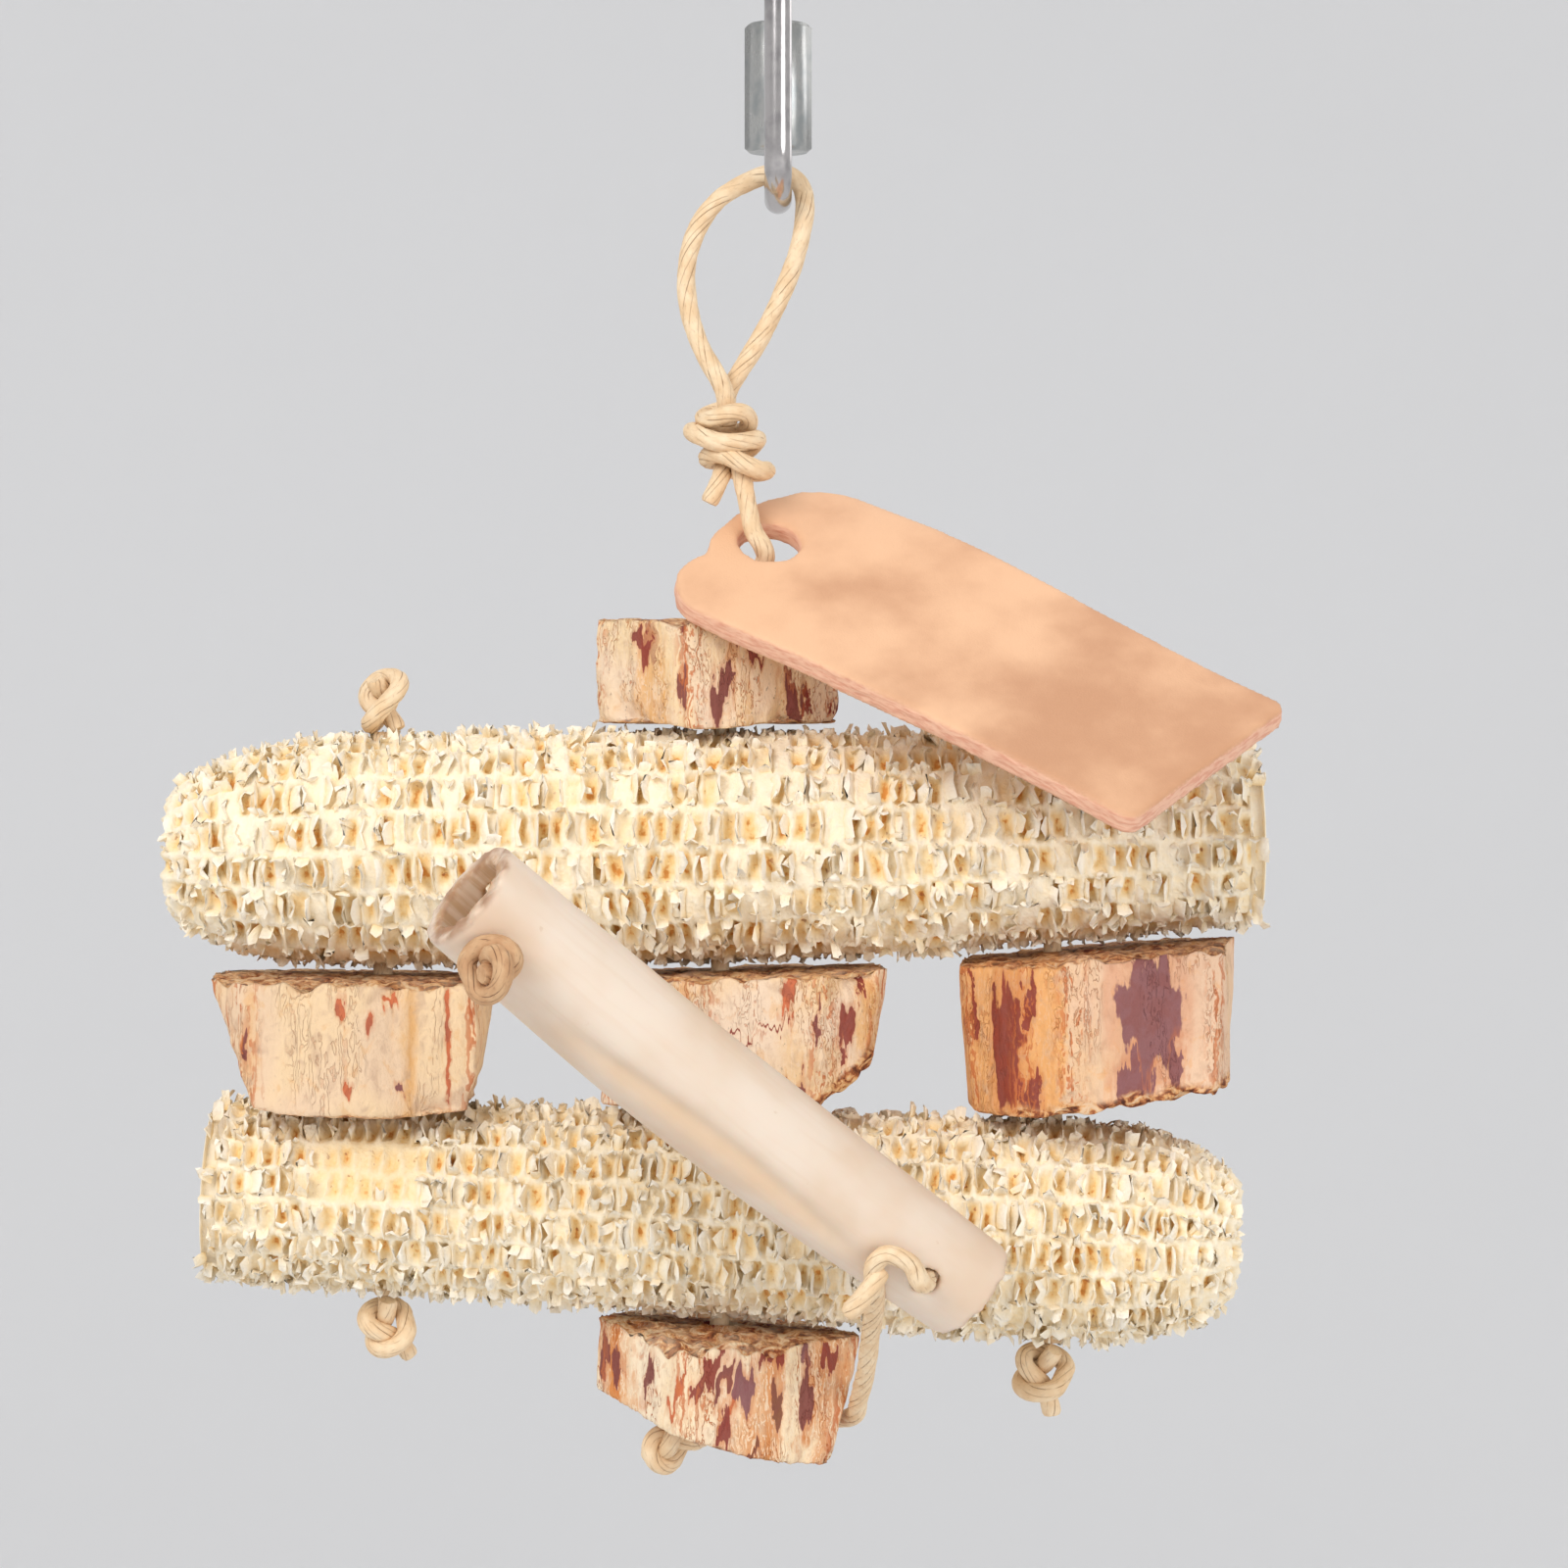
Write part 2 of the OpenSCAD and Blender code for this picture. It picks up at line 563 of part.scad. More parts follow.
module right_bark() {
    color("tan") bark(right_x, right_w, right_d, right_shift, right_plan,
        between(right_x, right_w, right_shift, right_draw));
}

module lower_cob() {
    color("wheat") difference() {
        translate([main_x, 0, lower_z]) rotate([0, lower_tilt, 0]) translate([lower_reach, 0, 0])
            rotate([0, 0, 180])
                cob(lower_len, [for (u = stations(lower_len)) [lower_radius(u), u]]);
        for (x = [left_x, main_x, right_x])
            cord_bore(x, lower_keel(x), lower_crest(x));
    }
}

module bottom_bark() {
    l = main_x + bottom_shift - bottom_w / 2;
    r = bottom_right;
    function foot(x) = bottom_low - (x - main_x) * tan(bottom_slope);
    color("tan") bark(main_x, bottom_w, bottom_d, bottom_shift, bottom_plan,
        [[l, under_lower(main_x, l)], [r, under_lower(main_x, r)],
         [r - bottom_draw[1], foot(r - bottom_draw[1])], [l + bottom_draw[0], foot(l + bottom_draw[0])]],
        bottom_lean);
}

module left_cord() {
    color("burlywood") upright_cord(left_x, left_low_top, left_top_base);
}

module left_top_knot() {
    color("burlywood") translate([left_x, 0, left_top_base]) stopper_knot();
}

module left_bottom_knot() {
    color("burlywood") translate([left_x, 0, left_low_top - knot_h]) stopper_knot();
}

module right_cord() {
    color("burlywood") upright_cord(right_x, right_low_top, right_top_base);
}

module right_top_knot() {
    color("burlywood") translate([right_x, 0, right_top_base]) stopper_knot();
}

module right_bottom_knot() {
    color("burlywood") translate([right_x, 0, right_low_top - knot_h]) stopper_knot();
}

module on_stick() {
    translate(stick_mid) rotate([0, stick_fall, stick_yaw]) translate([0, 0, -stick_len / 2]) children();
}

// Straight hole across the stick, s from its upper end
module stick_hole(s, roll) {
    translate([0, 0, s]) rotate([0, 0, roll]) rotate([0, 90, 0])
        cylinder(d = cord_hole_d, h = 2 * stick_d, center = true);
}

module chew_stick() {
    color("ivory") on_stick() difference() {
        cylinder(d1 = stick_d, d2 = stick_low_d, h = stick_len);
        translate([0, 0, -past])
            cylinder(d = stick_low_d - 2 * stick_wall, h = stick_len + 2 * past);
        stick_hole(stick_upper_in, stick_upper_roll);
        stick_hole(stick_lower_s, stick_lower_roll);
    }
}

module stick_front_knot() {
    color("burlywood") on_stick() translate([0, 0, stick_upper_in]) rotate([0, 0, stick_upper_roll])
        rotate([0, 90, 0]) translate([0, 0, stick_knot_r]) stopper_knot();
}

module stick_upper_cord() {
    color("burlywood") cord(smooth(upper_tie, 3));
}

module stick_cob_cord() {
    color("burlywood") translate([stick_x, rear_knot_y, stick_hole_z]) rotate([90, 0, 0])
        cylinder(d = cord_d, h = rear_knot_y - cob_front);
}

module stick_rear_knot() {
    color("burlywood") translate([stick_x, rear_knot_y, stick_hole_z]) rotate([-90, 0, 0])
        stopper_knot();
}

module stick_lower_cord() {
    color("burlywood") cord(smooth(lower_tie, 3));
}

quick_link();
sleeve_nut();
hanging_loop();
loop_knot();
loop_knot_core();
neck_cord();
main_cord();
bottom_cord();
main_bottom_knot();
leather_tag();
top_bark();
upper_cob();
left_bark();
middle_bark();
right_bark();
lower_cob();
bottom_bark();
left_cord();
left_top_knot();
left_bottom_knot();
right_cord();
right_top_knot();
right_bottom_knot();
chew_stick();
stick_front_knot();
stick_upper_cord();
stick_cob_cord();
stick_rear_knot();
stick_lower_cord();
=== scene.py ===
"""Looks of a hanging bird chew toy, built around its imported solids.

Pieces are worked in millimetres and turned into metres when each one is finished.
"""

import logging
import math
import random
from collections.abc import Sequence
from dataclasses import dataclass
from enum import Enum

import bmesh
import bpy
import numpy as np
from mathutils import Euler, Matrix, Vector, geometry, noise


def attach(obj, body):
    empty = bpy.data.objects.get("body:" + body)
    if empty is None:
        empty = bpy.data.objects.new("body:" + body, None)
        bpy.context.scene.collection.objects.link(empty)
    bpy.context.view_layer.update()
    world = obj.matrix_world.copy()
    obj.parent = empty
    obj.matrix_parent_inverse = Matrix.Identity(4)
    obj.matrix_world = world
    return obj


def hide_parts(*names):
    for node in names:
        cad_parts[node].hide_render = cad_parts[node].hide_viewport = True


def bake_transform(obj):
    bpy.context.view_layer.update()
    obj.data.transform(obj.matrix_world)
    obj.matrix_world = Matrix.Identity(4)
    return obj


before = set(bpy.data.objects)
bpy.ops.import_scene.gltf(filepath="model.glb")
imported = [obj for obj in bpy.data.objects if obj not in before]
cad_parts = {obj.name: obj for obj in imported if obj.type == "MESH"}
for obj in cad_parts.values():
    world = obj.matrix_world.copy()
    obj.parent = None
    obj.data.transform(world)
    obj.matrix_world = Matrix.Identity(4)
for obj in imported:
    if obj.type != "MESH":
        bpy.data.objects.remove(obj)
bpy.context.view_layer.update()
LOG = logging.getLogger("chew_toy")

MM = 0.001
CORD_D = 2.4
CORD_STEP = 0.42
ROUTE_PARTS = 16
NOISE_SEED = 7
MAIN_X = -7.4
LEFT_X = -50.4
RIGHT_X = 35.0
BLACK = (0.0, 0.0, 0.0, 1.0)
WHITE = (1.0, 1.0, 1.0, 1.0)
Point = tuple[float, float, float]
Colour = tuple[float, float, float, float]


def srgb(red: int, green: int, blue: int) -> Colour:
    """Gives the linear colour of an 8-bit screen colour.

    Args:
        red: Red level, 0 to 255.
        green: Green level.
        blue: Blue level.

    Returns:
        The colour, with full alpha.
    """

    def linear(level: int) -> float:
        """Undoes the screen's curve for one channel."""
        share = level / 255
        return share / 12.92 if share <= 0.04045 else ((share + 0.055) / 1.055) ** 2.4

    return linear(red), linear(green), linear(blue), 1.0


def metres(point: Point | Vector | np.ndarray) -> Point:
    """Gives a point in metres from one in millimetres."""
    return float(point[0]) * MM, float(point[1]) * MM, float(point[2]) * MM


def eased(low: float, high: float, value: float) -> float:
    """Gives a smooth step from 0 at low to 1 at high."""
    share = min(1.0, max(0.0, (value - low) / (high - low)))
    return share * share * (3 - 2 * share)


class Sock:
    """A shader socket that takes part in Python arithmetic."""

    def __init__(self, shader: "Shader", out: bpy.types.NodeSocket) -> None:
        """Keeps the socket and the shader it belongs to."""
        self.shader = shader
        self.out = out

    def maths(self, operation: str, *values: "Sock | float") -> "Sock":
        """Adds a Math node.

        Args:
            operation: The node's operation.
            values: What goes into its sockets, in order.

        Returns:
            The result's socket.
        """
        return self.shader.node("ShaderNodeMath", {"operation": operation}, dict(enumerate(values)))

    def __add__(self, other: "Sock | float") -> "Sock":
        """Adds."""
        return self.maths("ADD", self, other)

    def __radd__(self, other: float) -> "Sock":
        """Adds to a number."""
        return self.maths("ADD", other, self)

    def __sub__(self, other: "Sock | float") -> "Sock":
        """Subtracts."""
        return self.maths("SUBTRACT", self, other)

    def __rsub__(self, other: float) -> "Sock":
        """Subtracts from a number."""
        return self.maths("SUBTRACT", other, self)

    def __mul__(self, other: "Sock | float") -> "Sock":
        """Multiplies."""
        return self.maths("MULTIPLY", self, other)

    def __rmul__(self, other: float) -> "Sock":
        """Multiplies a number."""
        return self.maths("MULTIPLY", other, self)

    def step(self, low: float, high: float) -> "Sock":
        """Gives a smooth step from 0 at low to 1 at high."""
        return self.shader.node(
            "ShaderNodeMapRange",
            {"interpolation_type": "SMOOTHSTEP"},
            {"Value": self, "From Min": low, "From Max": high},
        )

    def fract(self) -> "Sock":
        """Gives what is left after the whole number."""
        return self.maths("FRACT", self)

    def away(self, middle: float) -> "Sock":
        """Gives the distance from a value."""
        gap = self - middle
        return gap.maths("ABSOLUTE", gap)


class Shader:
    """A material's node tree under construction."""

    def __init__(self, name: str) -> None:
        """Starts a material with one Principled shader."""
        self.material = bpy.data.materials.new(name)
        self.material.use_nodes = True
        self.tree = self.material.node_tree
        self.surface = self.tree.nodes["Principled BSDF"]

    def node(
        self,
        kind: str,
        settings: dict[str, object] | None = None,
        inputs: dict[int | str, object] | None = None,
        out: int | str = 0,
    ) -> Sock:
        """Adds a node.

        Args:
            kind: The node's type.
            settings: Its own properties; stops are a colour ramp's.
            inputs: Values or links of its sockets.
            out: Which of its outputs is wanted.

        Returns:
            The wanted output.
        """
        made = self.tree.nodes.new(kind)
        for name, value in (settings or {}).items():
            if name == "stops":
                self.set_stops(made.color_ramp, value)
            else:
                setattr(made, name, value)
        for key, value in (inputs or {}).items():
            if isinstance(value, Sock):
                self.tree.links.new(value.out, made.inputs[key])
            else:
                made.inputs[key].default_value = value
        return Sock(self, made.outputs[out])

    @staticmethod
    def set_stops(ramp: bpy.types.ColorRamp, stops: list[tuple[float, Colour]]) -> None:
        """Gives a colour ramp its stops.

        Args:
            ramp: The ramp.
            stops: Places along it with their colours.
        """
        while len(ramp.elements) < len(stops):
            ramp.elements.new(1.0)
        for element, (place, colour) in zip(ramp.elements, stops):
            element.position = place
            element.color = colour

    def place(self, scale: Point, shift: Point = (0, 0, 0)) -> Sock:
        """Reads the piece's own coordinates in millimetres.

        Args:
            scale: Cells per millimetre along each axis.
            shift: Offset of the pattern, in cells.

        Returns:
            The scaled coordinates.
        """
        raw = self.node("ShaderNodeTexCoord", out="Object")
        wide = self.scaled(raw, (1 / MM, 1 / MM, 1 / MM))
        return self.node("ShaderNodeMapping", None, {"Vector": wide, "Scale": scale, "Location": shift})

    def scaled(self, where: Sock, scale: Point) -> Sock:
        """Scales coordinates along each axis."""
        return self.node("ShaderNodeMapping", None, {"Vector": where, "Scale": scale})

    def axis(self, where: Sock, number: int) -> Sock:
        """Reads one coordinate by the number of its axis."""
        return self.node("ShaderNodeSeparateXYZ", None, {0: where}, number)

    def own(self, name: str, scale: Point = (1, 1, 1)) -> Sock:
        """Reads a vector attribute of the piece, scaled."""
        raw = self.node("ShaderNodeAttribute", {"attribute_name": name}, out="Vector")
        return self.scaled(raw, scale)

    def value(self, name: str) -> Sock:
        """Reads a number attribute of the piece."""
        return self.node("ShaderNodeAttribute", {"attribute_name": name}, out="Fac")

    def grain(self, where: Sock, detail: float, warp: float = 0.0) -> Sock:
        """Adds cloudy noise.

        Args:
            where: Coordinates, with one cell to a unit.
            detail: Finer layers.
            warp: How far the noise twists itself.

        Returns:
            The noise, about 0.5 on average.
        """
        return self.node(
            "ShaderNodeTexNoise",
            None,
            {"Vector": where, "Scale": 1.0, "Detail": detail, "Distortion": warp},
        )

    def shaken(self, where: Sock, by: Sock, amount: Point) -> Sock:
        """Moves coordinates by a coloured noise.

        Args:
            where: Coordinates.
            by: Coordinates that the noise is read at.
            amount: The move along each axis.

        Returns:
            The moved coordinates.
        """
        cloud = self.node("ShaderNodeTexNoise", None, {"Vector": by, "Scale": 1.0, "Detail": 3.0}, "Color")
        about = {0: cloud, 1: (0.5, 0.5, 0.5)}
        centred = self.node("ShaderNodeVectorMath", {"operation": "SUBTRACT"}, about)
        return self.node(
            "ShaderNodeVectorMath", {"operation": "MULTIPLY_ADD"}, {0: centred, 1: amount, 2: where}
        )

    def ramp(self, share: Sock, stops: list[tuple[float, Colour]]) -> Sock:
        """Turns a share into a colour."""
        return self.node("ShaderNodeValToRGB", {"stops": stops}, {0: share})

    def mix(self, share: Sock | float, first: Sock | Colour, second: Sock | Colour) -> Sock:
        """Mixes two colours by a share."""
        return self.node("ShaderNodeMix", {"data_type": "RGBA"}, {0: share, 6: first, 7: second}, 2)

    def bump(self, height: Sock, depth: float, strength: float = 1.0) -> Sock:
        """Turns a height into a normal, with its depth in millimetres."""
        return self.node(
            "ShaderNodeBump", None, {"Height": height, "Distance": depth * MM, "Strength": strength}
        )

    def finish(self, **sockets: object) -> bpy.types.Material:
        """Sets the surface's sockets.

        Args:
            sockets: Values or links by socket name, with _ for a space.

        Returns:
            The material.
        """
        for key, value in sockets.items():
            socket = self.surface.inputs[key.replace("_", " ")]
            if isinstance(value, Sock):
                self.tree.links.new(value.out, socket)
            else:
                socket.default_value = value
        return self.material


@dataclass(frozen=True)
class PaperCordFinish:
    """Kraft paper twisted into a cord, with a helix of folds whose creases carry painted shade as dark brown
    lines.

    Folds are places round the cord, in turns, and twist is in turns per millimetre.
    """

    name: str = "paper_cord"
    paper: Colour = srgb(233, 200, 158)
    pale: Colour = srgb(243, 218, 182)
    # Brown of the painted shade in the fold creases, also used for the paper's own fibre streaks.
    fold: Colour = srgb(148, 98, 60)
    folds: tuple[float, ...] = (0.02, 0.12, 0.27, 0.36, 0.52, 0.67, 0.83)
    fold_width: float = 0.022
    line_before: float = 0.014
    line_after: float = 0.01
    shallow: float = 0.6
    # Strength of the painted shade at the shallow folds.
    shallow_fold_shade: float = 0.55
    twist: float = 0.052

    def fold_depth(self, turn: float) -> float:
        """Gives how deep the paper dips at a share of the way round, from 0 to 1.

        Args:
            turn: The share of the way round.

        Returns:
            0 on the paper's back and 1 at the bottom of a deep fold.
        """
        depths = []
        for i, place in enumerate(self.folds):
            gap = min(abs(turn - place), 1 - abs(turn - place))
            depths.append(math.exp(-((gap / self.fold_width) ** 2)) * (1.0 if i % 2 else self.shallow))
        return max(depths)

    def material(self) -> bpy.types.Material:
        """Builds the paper's material.

        Returns:
            The material.
        """
        s = Shader(self.name)
        uv = s.node("ShaderNodeUVMap", {"uv_map": "cord"})
        cloud = s.grain(s.place((0.5, 0.5, 0.5)), 3.0)
        turn = (s.axis(uv, 0) - s.axis(uv, 1) * self.twist + 0.03 * (cloud - 0.5)).fract()
        # Painted shade: the ramp draws a dark line along each fold crease, darkest at the deep folds and
        # fainter at the shallow ones.
        stops = [(0.0, BLACK)]
        for i, place in enumerate(self.folds):
            dark = 1.0 if i % 2 else self.shallow_fold_shade
            stops.append((place - self.line_before, BLACK))
            stops.append((place, (dark, dark, dark, 1.0)))
            stops.append((place + self.line_after, BLACK))
        lines = s.node("ShaderNodeSeparateColor", None, {0: s.ramp(turn, stops)})
        broken = lines * s.grain(s.place((0.35, 0.35, 0.35), (5, 2, 1)), 2.0).step(0.36, 0.56)
        fibre = s.grain(s.scaled(uv, (26, 1.2, 1)), 4.0)
        colour = s.mix(cloud.step(0.35, 0.7), self.paper, self.pale)
        colour = s.mix(fibre.step(0.52, 0.8) * 0.35, colour, self.fold)
        # Painted shade: the broken dark lines darken the paper along its fold creases; the fibre streaks
        # above are the paper's own.
        colour = s.mix(broken * 0.8, colour, self.fold)
        normal = s.bump(fibre * 0.35 - broken, 0.09)
        return s.finish(Base_Color=colour, Roughness=0.72 + 0.12 * (fibre - 0.5), Normal=normal)


@dataclass(frozen=True)
class CobFinish:
    """Papery chaff, cream all over with orange slits between the scales, darker towards the bottoms of the
    sockets and the roots of the scales as painted shade.
    """

    shaded_slit: Colour = srgb(222, 152, 74)
    root: Colour = srgb(248, 211, 146)
    floor: Colour = srgb(253, 228, 181)
    flake: Colour = srgb(255, 238, 206)
    tip: Colour = srgb(255, 245, 226)
    red: Colour = srgb(168, 92, 54)

    def material(self) -> bpy.types.Material:
        """Builds the chaff's material.

        Returns:
            The material.
        """
        s = Shader("cob_chaff")
        rise = s.value("rise")
        cloud = s.grain(s.place((0.2, 0.2, 0.2)), 3.0)
        fine = s.grain(s.place((1.9, 1.9, 1.9)), 5.0)
        # Lightness follows height, so the darker, more orange colours low in the sockets and at the scales'
        # roots are painted shade in the recesses as well as the chaff's own orange.
        share = rise + 0.34 * (cloud - 0.5) + 0.3 * (fine - 0.5)
        stops = [
            (0.0, self.shaded_slit),
            (0.09, self.root),
            (0.26, self.floor),
            (0.5, self.flake),
            (0.85, self.tip),
        ]
        colour = s.ramp(share, stops)
        stain = s.grain(s.place((0.8, 0.8, 0.8), (9, 4, 2)), 2.0).step(0.66, 0.72)
        colour = s.mix(stain * (1 - rise.step(0.1, 0.45)) * 0.7, colour, self.red)
        normal = s.bump(fine, 0.3, 0.7)
        return s.finish(Base_Color=colour, Roughness=0.78 + 0.1 * (fine - 0.5), Normal=normal)


class Tint(Enum):
    """Colour of a patch in the bark."""

    RED = srgb(140, 48, 34)
    MAROON = srgb(126, 58, 52)
    PURPLE = srgb(132, 80, 84)
    ORANGE = srgb(206, 104, 58)
    BROWN = srgb(128, 72, 44)


@dataclass(frozen=True)
class Patch:
    """A patch in the bark, by its middle and half sizes in millimetres and its lean in degrees."""

    tint: Tint
    middle: Point
    half: Point
    lean: float = 0.0


@dataclass(frozen=True)
class BarkFinish:
    """Sanded bark with jagged dark patches along the grain and broken ends."""

    name: str
    seed: float
    patches: tuple[Patch, ...]
    cream: Colour = srgb(240, 210, 166)
    pale: Colour = srgb(240, 214, 186)
    warm: Colour = srgb(228, 172, 106)
    line: Colour = srgb(198, 108, 54)
    grey: Colour = srgb(196, 160, 132)
    speck: Colour = srgb(104, 84, 74)
    crumb: Colour = srgb(224, 166, 108)
    crumb_red: Colour = srgb(170, 98, 54)
    crumb_dark: Colour = srgb(84, 40, 22)
    warmth: float = 0.5
    split: float | None = None
    specks: float = 0.3
    lines: float = 0.5
    level: float = 0.66
    jag: float = 1.0

    def material(self) -> bpy.types.Material:
        """Builds one block's bark.

        Returns:
            The material.
        """
        s = Shader("bark_" + self.name)
        torn = self.torn(s)
        mottle = s.grain(s.place((0.55, 0.55, 0.4), self.offset()), 4.0, 0.6)
        fine = s.grain(s.place((2.6, 2.6, 1.6), self.offset()), 3.0)
        colour, cracks = self.ground(s, torn, mottle, fine)
        colour, mask = self.patched(s, torn, mottle, colour)
        threads = s.grain(s.scaled(torn, (1.5, 1.5, 0.04)), 1.0)
        colour = s.mix(s.value("corner") * threads.step(0.5, 0.6) * 0.85, colour, self.line)
        crumble = s.value("crumble")
        lumps = s.grain(s.place((0.5, 0.5, 0.8), self.offset()), 4.0, 1.2)
        shades = [(0.34, self.crumb_dark), (0.45, self.crumb_red), (0.53, self.crumb), (0.63, self.cream)]
        crumbs = s.ramp(lumps + 0.2 * (fine - 0.5), shades)
        colour = s.mix(crumble, colour, crumbs)
        normal = s.bump(fine * 0.35 + mottle * 0.5 - cracks * 0.3 + crumble * lumps * 1.5, 0.35)
        return s.finish(Base_Color=colour, Roughness=0.84 - 0.2 * mask * (1 - crumble), Normal=normal)

    def offset(self) -> Point:
        """Gives the block's own place in the noise."""
        return self.seed, self.seed * 0.7, self.seed * 1.3

    def torn(self, s: Shader) -> Sock:
        """Gives coordinates in millimetres that are jagged along the grain.

        Args:
            s: The material's shader.

        Returns:
            The jagged coordinates.
        """
        jag = self.jag
        streaks = s.place((0.75, 0.75, 0.07), self.offset())
        teeth = s.place((0.7, 0.7, 0.42), self.offset())
        streaked = s.shaken(s.place((1, 1, 1)), streaks, (3 * jag, 3 * jag, 15 * jag))
        return s.shaken(streaked, teeth, (2.8 * jag, 2.8 * jag, 4 * jag))

    def ground(self, s: Shader, torn: Sock, mottle: Sock, fine: Sock) -> tuple[Sock, Sock]:
        """Colours the bark between its patches.

        Args:
            s: The material's shader.
            torn: Jagged coordinates in millimetres.
            mottle: Coarse noise.
            fine: Fine noise.

        Returns:
            The colour, and a share that is 1 in the dark cracks.
        """
        cloud = s.grain(s.place((0.12, 0.12, 0.06), self.offset()), 2.0)
        strata = s.grain(s.scaled(torn, (0.16, 0.16, 0.016)), 1.0)
        colour = s.mix(cloud.step(0.4, 0.6), self.cream, self.pale)
        warm = strata.step(1.02 - self.warmth, 1.2 - self.warmth)
        if self.split is not None:
            side = s.axis(s.place((1, 1, 1)), 0) + 3 * (mottle - 0.5)
            warm = warm * 0.5 + (1 - side.step(self.split - 0.6, self.split + 0.6)) * 0.8
        colour = s.mix(warm, colour, self.warm)
        colour = s.mix(mottle.step(0.5, 0.72) * 0.5, colour, self.grey)
        colour = s.mix(mottle.step(0.44, 0.3) * 0.4, colour, self.warm)
        sheets = s.grain(s.scaled(torn, (0.5, 0.5, 0.05)), 2.0)
        ring = (sheets * 9).fract().away(0.5)
        broken = s.grain(s.place((0.25, 0.25, 0.08), (self.seed, 3, 1)), 2.0).step(0.44, 0.58)
        cracks = (1 - ring.step(0.02, 0.13)) * broken
        colour = s.mix(ring.step(0.34, 0.46) * self.lines * 0.7, colour, self.pale)
        colour = s.mix(cracks * self.lines, colour, self.line)
        return s.mix(fine.step(0.64, 0.72) * self.specks, colour, self.speck), cracks

    def patched(self, s: Shader, torn: Sock, mottle: Sock, colour: Sock) -> tuple[Sock, Sock]:
        """Lays the dark patches over the bark, with loose ones on the unseen back.

        Args:
            s: The material's shader.
            torn: Jagged coordinates in millimetres.
            mottle: Coarse noise.
            colour: The bark's colour.

        Returns:
            The new colour, and a share that is 1 inside a patch.
        """
        loose = s.grain(s.scaled(torn, (0.2, 0.2, 0.06)), 1.0)
        behind = s.axis(s.place((1, 1, 1)), 1).step(-8.0, -2.0)
        mask = loose.step(self.level, self.level + 0.02) * behind
        colour = s.mix(mask, colour, Tint.RED.value)
        for patch in self.patches:
            spread = self.reach(s, torn, patch)
            colour = s.mix((1 - spread.step(0.95, 1.7)) * 0.4, colour, self.line)
            inside = 1 - spread.step(0.9, 1.0)
            shade = s.mix(mottle.step(0.4, 0.62) * 0.45, patch.tint.value, Tint.MAROON.value)
            colour = s.mix(inside * 0.94, colour, shade)
            mask = mask.maths("MAXIMUM", mask, inside)
        return colour, mask

    @staticmethod
    def reach(s: Shader, torn: Sock, patch: Patch) -> Sock:
        """Gives the distance from a patch's middle, 1 at its edge.

        Args:
            s: The material's shader.
            torn: Jagged coordinates in millimetres.
            patch: The patch.

        Returns:
            The distance in half sizes.
        """
        place = {
            "Vector": torn,
            "Location": patch.middle,
            "Rotation": (0, math.radians(patch.lean), 0),
            "Scale": patch.half,
        }
        scaled = s.node("ShaderNodeMapping", {"vector_type": "TEXTURE"}, place)
        return s.node("ShaderNodeVectorMath", {"operation": "LENGTH"}, {0: scaled}, "Value")


@dataclass(frozen=True)
class LeatherFinish:
    """Undyed tooling leather with a pink raw edge, made a little lighter than the face as a painted
    highlight along the rolled edge.
    """

    face: Colour = srgb(238, 188, 147)
    deep: Colour = srgb(204, 150, 112)
    edge: Colour = srgb(240, 190, 160)
    edge_deep: Colour = srgb(224, 160, 132)

    def material(self) -> bpy.types.Material:
        """Builds the leather's material.

        Returns:
            The material.
        """
        s = Shader("leather")
        cloud = s.grain(s.place((0.07, 0.07, 0.07)), 4.0)
        pores = s.node("ShaderNodeTexVoronoi", None, {"Vector": s.place((3.2, 3.2, 3.2)), "Scale": 1.0})
        fibre = s.grain(s.own("local", (0.5, 0.5, 2.4)), 4.0)
        fine = s.grain(s.place((6, 6, 6)), 2.0)
        rim = s.value("rim")
        far = s.axis(s.own("local"), 0)
        colour = s.mix((cloud + far * 0.005).step(0.45, 0.9), self.face, self.deep)
        # The raw edge's pink is its own; its slightly lighter tone is a painted highlight.
        raw = s.mix(fibre.step(0.4, 0.66), self.edge, self.edge_deep)
        colour = s.mix(rim, colour, raw)
        normal = s.bump(pores * 0.3 * (1 - rim) + fine * 0.2 + fibre * rim * 1.6, 0.12, 0.6)
        return s.finish(
            Base_Color=colour,
            Roughness=0.55 + 0.3 * rim + 0.12 * (cloud - 0.5),
            Normal=normal,
            Sheen_Weight=0.08,
        )


